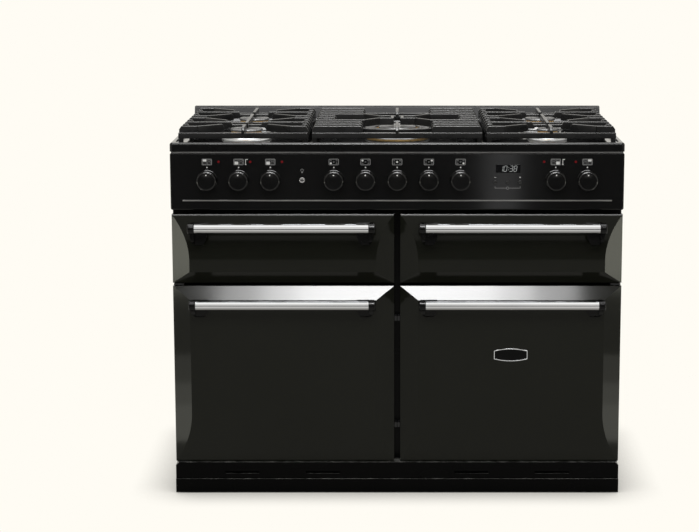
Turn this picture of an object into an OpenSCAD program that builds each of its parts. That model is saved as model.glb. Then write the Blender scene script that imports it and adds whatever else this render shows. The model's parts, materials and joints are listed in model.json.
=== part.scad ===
// Range cooker with a five burner gas hob, two side hung ovens, a glide out grill and a
// proving drawer. Millimetres, +Z up, the front faces -Y, and the origin is under the
// middle of the whole outline.

/* [Overall] */
// Width of the cooker
body_w = 1092; // [1000:1:1200]
// Depth from the face of the control panel to the back
body_d = 590; // [570:1:650]
// Thickness of the sheet steel
sheet = 2; // [1.5:0.1:2.5]

/* [Heights] */
// Gap between the floor and the plinth
floor_gap = 2; // [1:0.5:6]
// Height of the plinth board
plinth_h = 34; // [25:1:60]
// Height of the base rail
base_h = 41; // [36:1:60]
// Gap between the base rail and the lower doors
base_gap = 3; // [3:0.5:6]
// Height of the lower doors
lower_door_h = 440; // [425:1:480]
// Gap between the lower doors and the upper row
row_gap = 8; // [7:0.5:12]
// Height of the upper fronts
upper_door_h = 168.5; // [160:0.5:190]
// Gap between the upper row and the control panel
panel_gap = 11.2; // [6:0.2:16]
// Height of the control panel
panel_h = 138.8; // [130:0.2:150]
// Gap between the control panel and the hob
lip_gap = 3.5; // [2:0.5:6]
// Height of the hob edge
lip_h = 21.5; // [18:0.5:26]
// Rise of the pan supports above the hob edge
support_rise = 33.5; // [30:0.5:38]

/* [Doors] */
// Gap between the left and the right doors
centre_gap = 15; // [14:0.5:20]
// Distance of a door from the side of the cooker
door_side_gap = 1; // [0.5:0.5:3]
// How far a door face stands out from the control panel
door_stand = 14; // [10:0.5:18]
// How far the edge of a door lies behind its face
door_relief = 22; // [18:0.5:24]
// Width of the bevel down each side of a door
side_bevel = 43; // [35:0.5:50]
// Height of the bevel along the top of a lower door
lower_bevel = 31; // [26:0.5:40]
// Height of the curve at the foot of a lower door
lower_roll = 128; // [100:1:150]
// Height of the bevel along the foot of an upper front
upper_bevel = 30; // [26:0.5:36]
// Height of the curve at the top of an upper front
upper_roll = 110; // [90:1:115]
// Depth of the flat rim round a pressed door skin
skin_return = 14; // [12:0.5:18]
// Depth of the inner panel behind a skin
liner_depth = 18; // [14:0.5:22]
// Distance of the raised inner panel from the door edge
liner_inset = 25; // [22:0.5:30]
// Gap between an inner panel and the front frame
seal_gap = 4; // [3:0.5:6]

/* [Handles] */
// Diameter of a handle bar
bar_d = 24.4; // [18:0.2:27]
// Visible length of a handle bar
bar_len = 416; // [380:1:440]
// Distance from a door face to the axis of the bar
bar_reach = 40; // [37:0.1:48]
// Distance from the top of a lower door to the bar
lower_bar_drop = 36; // [30:0.5:60]
// Distance from the top of an upper front to the bar
upper_bar_drop = 25.5; // [22:0.5:42]
// Length of a handle end cap beyond the bar
cap_len = 16.5; // [12:0.5:20]
// How far an end cap stands proud of the bar
cap_proud = 0.8; // [0.4:0.1:1.5]
// Height of a lower bracket's foot below the bar axis
lower_foot_drop = 35; // [30:0.5:42]
// Height of an upper bracket's foot below the bar axis
upper_foot_drop = 46; // [38:0.5:52]
// Width of the arm of a bracket
arm_w = 38; // [30:0.5:44]

/* [Hinges] */
// Distance from the side of a door to its hinge axis
pivot_inset = 14; // [13:0.5:16]
// Radius of a hinge pin
pin_r = 4; // [3:0.25:5]
// Running clearance round pins and spindles
run_gap = 0.05; // [0.02:0.01:0.08]
// Length of a hinge pin in its door
pin_len = 20; // [16:0.5:26]
// Thickness of the upper hinge plates
hinge_t = 3; // [2:0.5:4]
// Thickness of the lower hinge plates
low_hinge_t = 2; // [1.5:0.25:2.5]

/* [Ovens] */
// Width inside an oven, and inside the upper chambers
cavity_w = 440; // [400:1:450]
// Height inside an oven
cavity_h = 366; // [340:1:370]
// Depth inside an oven
cavity_d = 400; // [360:1:420]
// Height of the oven floor above the base rail
cavity_rise = 36; // [28:1:44]
// Width of a door seal
seal_w = 9; // [7:0.5:11]
// Distance of a door seal from the oven mouth
seal_margin = 4; // [2:0.5:8]
// Height of the lower shelf above the oven floor
shelf_low = 90; // [70:1:110]
// Height of the upper shelf above the oven floor
shelf_high = 215; // [190:1:240]
// Radius of the rod round a shelf
shelf_rod = 3; // [2.5:0.25:4]
// Radius of the cross wires of a shelf
shelf_wire = 2; // [1.5:0.25:2.5]
// Distance between the cross wires of a shelf
wire_pitch = 26; // [18:1:34]
// Width of the ribs that carry a shelf
rib_w = 7; // [6:0.5:10]
// Height of the ribs that carry a shelf
rib_h = 5; // [4:0.5:7]
// Width of a fan cover
fan_cover_w = 300; // [260:1:340]
// Height of a fan cover
fan_cover_h = 250; // [220:1:280]
// Depth of a fan cover
fan_cover_d = 38; // [34:1:46]
// Radius of a fan wheel
fan_r = 76; // [60:1:90]
// Width of a fan blade
blade_w = 18; // [12:1:20]

/* [Grill and drawer] */
// Height inside the upper chambers
chamber_h = 130; // [120:1:134]
// Depth inside the upper chambers
chamber_d = 430; // [420:1:450]
// Height of a chamber floor above the foot of its front
chamber_rise = 18; // [14:1:22]
// Height of the runner ledges above the chamber floor
ledge_rise = 14; // [10:1:20]
// Width of a runner ledge
ledge_w = 11; // [9:0.5:14]
// Height of a runner fin
fin_h = 14; // [10:1:18]
// Clearance round sliding parts
slide_gap = 0.4; // [0.3:0.05:0.8]
// Length of the grill carriage rails
rail_len = 380; // [350:1:400]
// Depth of the grill pan, front to back
pan_d = 320; // [280:1:340]
// Height of the grill pan
pan_h = 36; // [28:1:44]
// Depth of the drawer box, front to back
drawer_d = 390; // [370:1:410]
// Height of the drawer box
drawer_h = 92; // [80:1:96]

/* [Hob] */
// How far the hob edge stands out from the control panel
lip_over = 4; // [2:0.5:8]
// Radius of the rounded hob edge
lip_r = 6; // [4:0.5:8]
// Width of the rim round the hob recess
rim_w = 15; // [12:1:18]
// Depth of the hob recess
recess = 9.5; // [8:0.5:12]
// Depth of the rear upstand
upstand_d = 34; // [28:1:44]
// Height of the rear upstand
upstand_h = 30.5; // [26:0.5:34]
// Distance of the side burners from the side of the cooker
burner_inset = 173.5; // [165:0.5:180]
// Distance of the front burners behind the control panel
front_burner = 150; // [140:1:160]
// Distance of the rear burners behind the control panel
rear_burner = 397; // [385:1:405]
// Distance of the middle burner behind the control panel
mid_burner = 277; // [270:1:284]
// Radius of the large burner caps
big_cap_r = 40; // [36:0.5:42]
// Radius of the small burner cap
small_cap_r = 27.5; // [24:0.5:32]
// Radius of the outer ring of the middle burner
wok_r = 82; // [76:0.5:86]
// Radius of the inner cap of the middle burner
wok_cap_r = 47.5; // [40:0.5:50]
// Radius of a burner base beyond its cap
base_flange = 21; // [16:0.5:24]

/* [Pan supports] */
// Gap between neighbouring pan supports
support_gap = 10; // [6:0.5:14]
// Width of each side support
side_support_w = 313; // [305:1:317]
// Distance of the first bar behind the control panel
first_bar = 60.7; // [56:0.1:64]
// Distance between the bars
bar_pitch = 48; // [46:0.5:50]
// Width of a cast bar
cast_w = 8.5; // [7:0.5:10]
// Depth of a cast bar
cast_h = 18; // [15:0.5:20]
// Width of the lower frame bars
rail_w = 11; // [9:0.5:13]
// How far the cast bars are let into the frame bars
rail_lap = 4; // [1:0.5:6]
// Depth of the lower frame bars
rail_h = 14; // [8:0.5:16]
// Distance of the front frame bar behind the control panel
front_rail = 35; // [32:0.5:40]
// How far the tops of the lowered bars lie below the rest
low_step = 6.5; // [5:0.5:8]
// Distance of the diagonal tips from a burner axis
finger_gap = 68; // [60:1:76]
// Distance of the ring under the middle support from the side of that support
ring_inset = 46; // [40:1:60]

/* [Controls] */
// Diameter of a control knob
knob_d = 49.5; // [40:0.5:56]
// How far a knob stands out
knob_out = 28; // [24:0.5:32]
// Distance between neighbouring knobs
knob_pitch = 76.15; // [70:0.05:80]
// Distance of the outermost knobs from the side of the panel
knob_inset = 89.1; // [80:0.1:96]
// Height of the knob axes above the foot of the panel
knob_rise = 73.3; // [66:0.1:80]
// Radius of a knob spindle
spindle_r = 3; // [2.5:0.25:4]
// Radius of the light button
light_r = 7; // [5:0.5:9]
// Radius of a clock button
key_r = 4.2; // [3.5:0.1:5]
// Distance between the clock buttons
key_pitch = 29.75; // [26:0.25:32]
// Distance of the clock from the knob on its right
clock_gap = 115.15; // [108:0.05:118]
// Width of the clock window
window_w = 59.5; // [54:0.5:64]
// Height of the clock window
window_h = 20.5; // [18:0.5:24]
// Radius of an indicator lamp
lamp_r = 3; // [2.5:0.25:4]
// Depth of the raised line along the panel
trim_t = 0.8; // [0.5:0.1:1.5]
// Height of that line
trim_h = 3; // [2:0.5:5]
// Distance of the ends of that line from the side of the panel
trim_inset = 29; // [20:1:40]

/* [Hidden] */
$fn = 48;
over = 1;          // how far a cutter passes the face that it cuts

// Heights of the levels from the floor up
plinth_top = floor_gap + plinth_h;
base_top = plinth_top + base_h;
lower_z0 = base_top + base_gap;
lower_z1 = lower_z0 + lower_door_h;
upper_z0 = lower_z1 + row_gap;
upper_z1 = upper_z0 + upper_door_h;
panel_z0 = upper_z1 + panel_gap;
panel_z1 = panel_z0 + panel_h;
lip_z0 = panel_z1 + lip_gap;
hob_z = lip_z0 + lip_h;
support_z = hob_z + support_rise;
hob_floor = hob_z - recess;

// Depths of the levels from the handles back
front_reach = door_stand + bar_reach + bar_d / 2 + cap_proud;
panel_y = front_reach - (body_d + front_reach) / 2;
back_y = panel_y + body_d;
door_face_y = panel_y - door_stand;
door_edge_y = door_face_y + door_relief;
skin_back_y = door_edge_y + skin_return;
liner_back_y = skin_back_y + liner_depth;
frame_y = liner_back_y + seal_gap;
frame_back_y = frame_y + 1.5 * sheet;
lip_y = panel_y - lip_over;

// Widths
half_w = body_w / 2;
door_x0 = centre_gap / 2;
door_x1 = half_w - door_side_gap;
door_w = door_x1 - door_x0;
door_cx = (door_x0 + door_x1) / 2;
pivot_x = door_x1 - pivot_inset;
pivot_y = skin_back_y - 2;
relief_r = pin_r + 3;
base_set = 5;      // the base rail lies this far behind the plinth face
burner_x = half_w - burner_inset;

// Ovens and chambers
cavity_z = base_top + cavity_rise;
chamber_z = upper_z0 + chamber_rise;
ledge_t = 3;
ledge_z = chamber_z + ledge_rise;
fan_z = cavity_z + cavity_h / 2;
liner_end_y = frame_back_y + cavity_d;
shelf_z = [cavity_z + shelf_low, cavity_z + shelf_high];
side_clear = 1;    // clearance between a sliding part and the chamber wall
shelf_front = 14;  // the shelves start this far behind the front frame
shelf_back = 10;   // and end this far before the fan cover
shaft_r = 4;

// Controls
knob_z = panel_z0 + knob_rise;
icon_z = knob_z + 43.7;
lamp_z = icon_z + 0.3;
lamp_shift = 28;
key_z = knob_z - 5.7;
window_z = knob_z + 17.5;
panel_t = 2.5;
key_stem_r = 1.5;
key_bore = 16;     // depth of the bore of a clock button
light_k = -3;
lamp_spots = [[-6, 1], [-5, 1], [-4, 1], [5, -1], [6, -1]];

// Place of knob number k across the panel. The inner knobs count from the middle, and
// the outer ones from the side of the panel.
function knob_x(k) = abs(k) < 4
    ? k * knob_pitch : sign(k) * (half_w - knob_inset - (6 - abs(k)) * knob_pitch);
clock_x = knob_x(5) - clock_gap;

// Burner list: place across, place behind the panel, radius of the cap
burners = [
    [-burner_x, front_burner, big_cap_r],
    [-burner_x, rear_burner, big_cap_r - 1],
    [burner_x, rear_burner, big_cap_r - 1],
    [burner_x, front_burner, small_cap_r]
];
flange_t = 4;
igniter_gap = 14;  // distance of an electrode from the edge of a cap
wok_band = 25;     // width of the middle burner's outer ring
crown_z = hob_floor + 12;
ring_t = 7;
cap_t = 6;
tube_len = 20;     // length of a burner's mixing tube below the hob floor

// Length of the third side of a right triangle
function hyp(a, b) = sqrt(a * a + b * b);

// A box from its lowest to its highest corner
module block(lo, hi) {
    translate(lo) cube(hi - lo);
}

// A cylinder along X
module rod_x(p, r, len, fn = 32) {
    translate(p) rotate([0, 90, 0]) cylinder(r = r, h = len, $fn = fn);
}

// A cylinder along Y, towards the back
module rod_y(p, r, len, fn = 32) {
    translate(p) rotate([-90, 0, 0]) cylinder(r = r, h = len, $fn = fn);
}

// A cylinder along Z
module rod_z(p, r, len, fn = 32) {
    translate(p) cylinder(r = r, h = len, $fn = fn);
}

// A thin open fronted box: walls of the sheet outside an inner space
module open_box(lo, hi) {
    difference() {
        block([lo.x - sheet, lo.y, lo.z - sheet], [hi.x + sheet, hi.y + sheet, hi.z + sheet]);
        block([lo.x, lo.y - over, lo.z], hi);
    }
}

// The pressed front of a door, shrunk by t on every side but the back. Its foot is
// rolled back on a large radius and its top is bevelled; x, y and z start at its corner.
module pressed_form(w, h, roll, bevel, t) {
    r = (roll * roll + door_relief * door_relief) / (2 * door_relief);
    back = door_relief + skin_return + (t > 0 ? over : 0);
    top_l = hyp(door_relief, bevel);
    side_l = hyp(door_relief, side_bevel);
    top_z = h - bevel - t * (top_l - bevel) / door_relief;
    top_y = door_relief + t * (top_l - door_relief) / bevel;
    side_x = side_bevel + t * (side_l - side_bevel) / door_relief;
    side_y = door_relief + t * (side_l - door_relief) / side_bevel;
    intersection() {
        rotate([90, 0, 90]) linear_extrude(w) difference() {
            polygon([[t, t], [t, top_z], [top_y, h - t], [back, h - t], [back, t]]);
            difference() {
                translate([-over, -over]) square([r + over, roll + over]);
                translate([r, roll]) circle(r = r - t, $fn = 240);
            }
        }
        linear_extrude(h) polygon([
            [t, back], [t, side_y], [side_x, t],
            [w - side_x, t], [w - t, side_y], [w - t, back]
        ]);
    }
}

// Places a lower door form, rolled back at its foot
module lower_form(t) {
    translate([door_x0, door_face_y, lower_z0])
        pressed_form(door_w, lower_door_h, lower_roll, lower_bevel, t);
}

// Places an upper front, which is the same form upside down
module upper_form(t) {
    translate([door_x0, door_face_y, upper_z1]) mirror([0, 0, 1])
        pressed_form(door_w, upper_door_h, upper_roll, upper_bevel, t);
}

// Enamelled steel base: a tray turned over, with corner pads for the feet
module base_frame() {
    pad = 56;
    chamfer = 7;
    slot_w = 83;
    slot_h = 6;
    slot_z = plinth_top + base_h * 0.38;
    y0 = panel_y + base_set;
    color([0.05, 0.05, 0.05]) difference() {
        union() {
            difference() {
                translate([0, back_y, plinth_top]) rotate([90, 0, 0])
                    linear_extrude(back_y - y0) polygon([
                        [-half_w, 0], [half_w, 0], [half_w, base_h - chamfer],
                        [half_w - chamfer, base_h], [chamfer - half_w, base_h],
                        [-half_w, base_h - chamfer]
                    ]);
                block([sheet - half_w, y0 + sheet, plinth_top - over],
                      [half_w - sheet, back_y - sheet, base_top - chamfer - sheet]);
            }
            for (side = [-1, 1], y = [y0 + sheet, back_y - sheet - pad])
                block([side * (half_w - sheet - pad / 2) - pad / 2, y, plinth_top],
                      [side * (half_w - sheet - pad / 2) + pad / 2, y + pad,
                       base_top - chamfer - sheet]);
        }
        for (x = [-0.7, -0.336, 0.336, 0.7] * half_w)
            block([x - slot_w / 2, y0 - over, slot_z - slot_h / 2],
                  [x + slot_w / 2, y0 + sheet + over, slot_z + slot_h / 2]);
    }
}

// Plinth boards: a folded front board and two folded side boards
module plinth() {
    fold = 24;
    joint = 0.5;
    front_t = 1.5 * sheet;
    side_y = panel_y + fold + joint;
    color([0.05, 0.05, 0.05]) {
        difference() {
            block([-half_w, panel_y, floor_gap], [half_w, panel_y + fold, plinth_top]);
            block([-half_w - over, panel_y + front_t, floor_gap - over],
                  [half_w + over, panel_y + fold + over, plinth_top - sheet]);
        }
        for (side = [0, 1]) mirror([side, 0, 0])
            difference() {
                block([half_w - fold, side_y, floor_gap], [half_w, back_y - fold, plinth_top]);
                block([half_w - fold - over, side_y - over, floor_gap - over],
                      [half_w - sheet, back_y - fold + over, plinth_top - sheet]);
            }
    }
}

// Four levelling feet that stand on the floor and carry the base
module levelling_feet() {
    inset = 42;
    disc_h = 7;
    color([0.12, 0.12, 0.12])
        for (side = [-1, 1], y = [panel_y + base_set + inset, back_y - inset])
            translate([side * (half_w - inset), y, 0]) {
                cylinder(r = 17, h = disc_h);
                cylinder(r = 5, h = plinth_top);
                translate([0, 0, plinth_top - 8]) cylinder(r = 10, h = 8);
            }
}

// Outer side sheets, from the front frame to the back
module side_panels() {
    color([0.05, 0.05, 0.05])
        for (side = [0, 1]) mirror([side, 0, 0])
            difference() {
                block([half_w - 10, frame_y, base_top], [half_w, back_y, lip_z0]);
                block([half_w - 10 - over, frame_y + sheet, base_top + sheet],
                      [half_w - sheet, back_y - sheet, lip_z0 - sheet]);
            }
}

// Back sheet with stiffening ribs and two rows of louvre slots
module back_panel() {
    x1 = half_w - 10;
    rib = 5;
    color([0.6, 0.6, 0.6]) difference() {
        union() {
            block([-x1, back_y - sheet, base_top], [x1, back_y, lip_z0]);
            for (x = [-x1 * 0.62, -x1 * 0.2, x1 * 0.2, x1 * 0.62])
                block([x - 12, back_y - sheet - rib, base_top + 20],
                      [x + 12, back_y - sheet, lip_z0 - 40]);
        }
        for (x = [-x1 * 0.62, -x1 * 0.2, x1 * 0.2, x1 * 0.62])
            block([x - 9, back_y - rib, base_top + 23], [x + 9, back_y + over, lip_z0 - 43]);
        for (x = [-x1 * 0.41, x1 * 0.41], i = [0:5])
            block([x - 60, back_y - sheet - over, fan_z - 50 + i * 18],
                  [x + 60, back_y + over, fan_z - 44 + i * 18]);
    }
}

// Front frame with the two oven mouths and the two upper mouths
module front_frame() {
    x1 = half_w - 10;
    color([0.08, 0.08, 0.08]) difference() {
        block([-x1, frame_y, base_top], [x1, frame_back_y, lip_z0]);
        for (side = [-1, 1]) {
            block([side * door_cx - cavity_w / 2, frame_y - over, cavity_z],
                  [side * door_cx + cavity_w / 2, frame_back_y + over,
                   cavity_z + cavity_h]);
            block([side * door_cx - cavity_w / 2, frame_y - over, chamber_z],
                  [side * door_cx + cavity_w / 2, frame_back_y + over,
                   chamber_z + chamber_h]);
        }
    }
}

// Enamelled oven interiors with pressed ribs for the shelves and a hole for the fan shaft
module oven_liners() {
    rib_y0 = frame_back_y + 12;
    rib_y1 = liner_end_y - fan_cover_d - 6;
    color([0.1, 0.1, 0.11]) for (side = [-1, 1])
        translate([side * door_cx, 0, 0]) difference() {
            union() {
                open_box([-cavity_w / 2, frame_back_y, cavity_z],
                         [cavity_w / 2, liner_end_y, cavity_z + cavity_h]);
                for (wall = [0, 1], z = shelf_z) mirror([wall, 0, 0])
                    block([cavity_w / 2 - rib_w, rib_y0, z - rib_h],
                          [cavity_w / 2 + sheet / 2, rib_y1, z]);
            }
            rod_y([0, liner_end_y - over, fan_z], 2 * shaft_r, sheet + 2 * over);
        }
}

// Upper chambers with their runner ledges
module upper_chambers() {
    y1 = frame_back_y + chamber_d;
    color([0.45, 0.46, 0.47]) for (side = [-1, 1])
        translate([side * door_cx, 0, 0]) {
            open_box([-cavity_w / 2, frame_back_y, chamber_z],
                     [cavity_w / 2, y1, chamber_z + chamber_h]);
            for (wall = [0, 1], z = [ledge_z - ledge_t, ledge_z + fin_h + 2 * slide_gap])
                mirror([wall, 0, 0])
                    block([cavity_w / 2 - ledge_w, frame_back_y, z],
                          [cavity_w / 2, y1, z + ledge_t]);
        }
}

// Sealing ropes round the oven mouths, held on the front frame
module door_seals() {
    lo = seal_margin;
    hi = seal_margin + seal_w;
    gap = 0.4;
    color([0.25, 0.25, 0.24]) for (side = [-1, 1])
        translate([side * door_cx, 0, 0]) difference() {
            block([-cavity_w / 2 - hi, liner_back_y + gap, cavity_z - hi],
                  [cavity_w / 2 + hi, frame_y, cavity_z + cavity_h + hi]);
            block([-cavity_w / 2 - lo, liner_back_y, cavity_z - lo],
                  [cavity_w / 2 + lo, frame_y + over, cavity_z + cavity_h + lo]);
        }
}

// A wire shelf: a frame of thick rod with thinner wires across it
module wire_shelf(w, d, rod, wire, pitch) {
    count = floor((w / 2 - 3 * rod) / pitch);
    for (x = [rod - w / 2, w / 2 - rod]) rod_y([x, 0, rod], rod, d);
    for (y = [rod, d - rod]) rod_x([-w / 2 + rod, y, rod], rod, w - 2 * rod);
    for (i = [-count:count]) rod_y([i * pitch, rod, rod], wire, d - 2 * rod);
}

// Two shelves in each oven, lying on the ribs
module oven_shelves() {
    w = cavity_w - 2;
    d = cavity_d - fan_cover_d - shelf_front - shelf_back;
    color([0.75, 0.75, 0.77]) for (side = [-1, 1], z = shelf_z)
        translate([side * door_cx, frame_back_y + shelf_front, z])
            wire_shelf(w, d, shelf_rod, shelf_wire, wire_pitch);
}

// Covers over the oven fans, with a ring of air slots
module fan_covers() {
    y0 = liner_end_y - fan_cover_d;
    slot_in = 18;
    slots = 12;
    color([0.14, 0.14, 0.15]) for (side = [-1, 1])
        translate([side * door_cx, y0, fan_z]) difference() {
            block([-fan_cover_w / 2, 0, -fan_cover_h / 2],
                  [fan_cover_w / 2, fan_cover_d, fan_cover_h / 2]);
            block([sheet - fan_cover_w / 2, sheet, sheet - fan_cover_h / 2],
                  [fan_cover_w / 2 - sheet, fan_cover_d + over, fan_cover_h / 2 - sheet]);
            for (i = [0:slots - 1]) rotate([0, i * 360 / slots, 0])
                block([slot_in, -over, -3], [fan_r - 12, sheet + over, 3]);
        }
}

// Fan motors on the back walls of the ovens, with a bore for the shaft
module fan_motors() {
    r = 38;
    len = 46;
    color([0.5, 0.5, 0.5]) for (side = [-1, 1]) difference() {
        rod_y([side * door_cx, liner_end_y + sheet, fan_z], r, len);
        rod_y([side * door_cx, liner_end_y + sheet - over, fan_z],
              shaft_r + run_gap, len - 8 + over);
    }
}

// An oven fan wheel on its shaft
module fan_wheel(side) {
    gap = 6;
    blades = 16;
    disc_y = liner_end_y - gap - 1.5;
    color([0.7, 0.7, 0.72]) translate([side * door_cx, 0, fan_z]) {
        difference() {
            union() {
                rod_y([0, disc_y, 0], fan_r, 1.5, 64);
                rod_y([0, disc_y - blade_w, 0], 12, blade_w);
                for (i = [0:blades - 1]) rotate([0, i * 360 / blades, 0])
                    block([fan_r - 24, disc_y - blade_w, -0.8], [fan_r - 2, disc_y, 0.8]);
            }
            rod_y([0, disc_y - blade_w - over, 0], shaft_r, 2);
        }
        rod_y([0, disc_y + 1.5, 0], shaft_r, gap + sheet + 34);
    }
}

// Grill element: a rod bent back and forth under the roof of the grill chamber
module grill_element() {
    rod = 3.5;
    runs = 6;
    side_room = 85;    // distance of the outer runs from the chamber walls
    pitch = (cavity_w - 2 * side_room) / (runs - 1);
    run_y0 = frame_back_y + 60;
    run_len = 250;
    z = chamber_z + chamber_h - 22;
    x0 = -door_cx - (runs - 1) * pitch / 2;
    color([0.35, 0.3, 0.28]) {
        for (i = [0:runs - 1])
            rod_y([x0 + i * pitch, run_y0, z], rod, i == 0 || i == runs - 1
                  ? frame_back_y + chamber_d - run_y0 : run_len, 24);
        for (i = [0:runs - 2])
            translate([x0 + (i + 0.5) * pitch, i % 2 == 0 ? run_y0 : run_y0 + run_len, z])
                rotate([0, 0, i % 2 == 0 ? 180 : 0]) rotate_extrude(angle = 180, $fn = 48)
                    translate([pitch / 2, 0]) circle(r = rod, $fn = 24);
    }
}

// Hinge plates with their pins, and the door catches in the gap between the doors
module hinges_and_catches() {
    plate_w = 24;
    catch_z = [lower_z0 + 0.2 * lower_door_h, lower_z0 + 0.81 * lower_door_h];
    low_top = base_top + low_hinge_t;
    high_z = lower_z1 + 2.5;
    color([0.72, 0.72, 0.74]) for (side = [0, 1]) mirror([side, 0, 0]) {
        block([pivot_x - plate_w / 2, pivot_y - 10, base_top],
              [pivot_x + plate_w / 2, frame_y, low_top]);
        rod_z([pivot_x, pivot_y, low_top], pin_r, base_gap - low_hinge_t + pin_len);
        block([pivot_x - plate_w / 2, pivot_y - 10, high_z],
              [pivot_x + plate_w / 2, frame_y, high_z + hinge_t]);
        rod_z([pivot_x, pivot_y, lower_z1 - pin_len], pin_r, high_z - lower_z1 + pin_len);
        for (z = catch_z)
            block([1, skin_back_y, z - 6], [door_x0 - 1, frame_y, z + 6]);
    }
}

// A slab whose top edges and upright corners are rounded
module soft_slab(lo, hi, r) {
    block([lo.x + r, lo.y, lo.z], [hi.x - r, hi.y, hi.z - r]);
    block([lo.x, lo.y + r, lo.z], [hi.x, hi.y - r, hi.z - r]);
    block([lo.x + r, lo.y + r, lo.z], [hi.x - r, hi.y - r, hi.z]);
    for (y = [lo.y + r, hi.y - r]) rod_x([lo.x + r, y, hi.z - r], r, hi.x - lo.x - 2 * r);
    for (x = [lo.x + r, hi.x - r]) {
        rod_y([x, lo.y + r, hi.z - r], r, hi.y - lo.y - 2 * r);
        for (y = [lo.y + r, hi.y - r]) {
            rod_z([x, y, lo.z], r, hi.z - lo.z - r);
            translate([x, y, hi.z - r]) sphere(r = r, $fn = 32);
        }
    }
}

// Upright prism with rounded corners
module soft_prism(lo, hi, r) {
    block([lo.x + r, lo.y, lo.z], [hi.x - r, hi.y, hi.z]);
    block([lo.x, lo.y + r, lo.z], [hi.x, hi.y - r, hi.z]);
    for (x = [lo.x + r, hi.x - r], y = [lo.y + r, hi.y - r])
        rod_z([x, y, lo.z], r, hi.z - lo.z);
}

// Hob: a pressed tray with a rounded edge, a shallow recess and the burner holes
module hob_tray() {
    wall = sheet + 0.5;
    corner = 16;
    color([0.05, 0.05, 0.05]) difference() {
        soft_slab([-half_w, lip_y, lip_z0], [half_w, back_y, hob_z], lip_r);
        soft_prism([rim_w - half_w, lip_y + rim_w, hob_floor],
                   [half_w - rim_w, back_y - upstand_d - 6, hob_z + over], corner);
        block([wall - half_w, lip_y + wall, lip_z0 - over],
              [half_w - wall, back_y - wall, hob_floor - sheet]);
        for (b = burners)
            rod_z([b.x, panel_y + b.y, lip_z0 - over], b.z * 0.8 + 1, lip_h);
        rod_z([0, panel_y + mid_burner, lip_z0 - over], wok_cap_r + 1, lip_h);
    }
}

// Rear upstand with its row of vent slots
module rear_upstand() {
    slope = 9;
    top_z = hob_z + upstand_h;
    y0 = back_y - upstand_d;
    slots = 14;
    slot_w = 52;
    pitch = (body_w - 40) / slots;
    color([0.07, 0.07, 0.07]) difference() {
        translate([-half_w, 0, 0]) rotate([90, 0, 90]) linear_extrude(body_w) difference() {
            polygon([
                [y0, hob_z], [y0 + slope, top_z - 4], [y0 + slope + 4, top_z],
                [back_y, top_z], [back_y, hob_z]
            ]);
            polygon([
                [y0 + sheet, hob_z - over], [y0 + slope + sheet, top_z - 6],
                [y0 + slope + 6, top_z - sheet], [back_y - sheet, top_z - sheet],
                [back_y - sheet, hob_z - over]
            ]);
        }
        for (i = [0:slots - 1])
            block([(i - slots / 2 + 0.5) * pitch - slot_w / 2, back_y - 18, top_z - sheet - over],
                  [(i - slots / 2 + 0.5) * pitch + slot_w / 2, back_y - 10, top_z + over]);
    }
    color([0.07, 0.07, 0.07]) for (side = [0, 1]) mirror([side, 0, 0])
        block([half_w - sheet, y0 + slope + sheet, hob_z],
              [half_w, back_y - sheet, top_z - 7]);
}

// One burner cup with its flange on the hob and its mixing tube below
module burner_cup(r) {
    cup_h = crown_z - hob_floor;
    difference() {
        union() {
            cylinder(r = r + base_flange, h = flange_t, $fn = 72);
            translate([0, 0, flange_t])
                cylinder(r1 = r + 8, r2 = r, h = cup_h - flange_t, $fn = 72);
            translate([0, 0, -tube_len]) cylinder(r = r * 0.8, h = tube_len);
        }
        translate([0, 0, -tube_len - over]) cylinder(r = 9, h = tube_len + cup_h + 2 * over);
        for (x = [r + igniter_gap, -r - igniter_gap])
            translate([x, 0, -over]) cylinder(r = 4, h = flange_t + 2 * over + 4);
    }
}

// Burner cups on the hob
module burner_bases() {
    color([0.72, 0.73, 0.75]) {
        for (b = burners) translate([b.x, panel_y + b.y, hob_floor]) burner_cup(b.z);
        translate([0, panel_y + mid_burner, hob_floor]) difference() {
            union() {
                cylinder(r = wok_r + 8, h = flange_t, $fn = 96);
                translate([0, 0, flange_t]) cylinder(r = wok_r - 2, h = 3, $fn = 96);
                translate([0, 0, -tube_len]) cylinder(r = wok_cap_r, h = tube_len);
            }
            translate([0, 0, -tube_len - over]) cylinder(r = 10, h = tube_len + flange_t + 3 + 2 * over);
            translate([0, 0, flange_t + 0.5]) difference() {
                cylinder(r = wok_r - wok_band - 1, h = 4, $fn = 96);
                translate([0, 0, -over]) cylinder(r = wok_cap_r - 3, h = 8, $fn = 96);
            }
            for (x = [wok_r + 1, -wok_r - 1]) translate([x, 0, -over]) cylinder(r = 4, h = 12);
        }
    }
}

// A slotted flame ring
module flame_ring(r, bore, h, ports) {
    difference() {
        cylinder(r = r, h = h, $fn = 72);
        translate([0, 0, -over]) cylinder(r = bore, h = h + 2 * over);
        for (i = [0:ports - 1]) rotate([0, 0, (i + 0.5) * 360 / ports])
            block([r - 5, -0.9, h * 0.35], [r + over, 0.9, h + over]);
    }
}

// Flame rings of all the burners
module burner_rings() {
    color([0.72, 0.52, 0.25]) {
        for (b = burners)
            translate([b.x, panel_y + b.y, crown_z]) flame_ring(b.z - 3, b.z * 0.45, ring_t, 24);
        translate([0, panel_y + mid_burner, hob_floor + flange_t + 3]) {
            flame_ring(wok_r - 4, wok_r - wok_band + 1, 6, 36);
            flame_ring(wok_cap_r - 4, 14, 7, 24);
        }
    }
}

// A burner cap with a rounded edge
module burner_cap(r, h) {
    edge = min(3, h / 2);
    rotate_extrude($fn = 96) {
        square([r - edge, h]);
        square([r, h - edge]);
        translate([r - edge, h - edge]) circle(r = edge, $fn = 32);
    }
}

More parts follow.
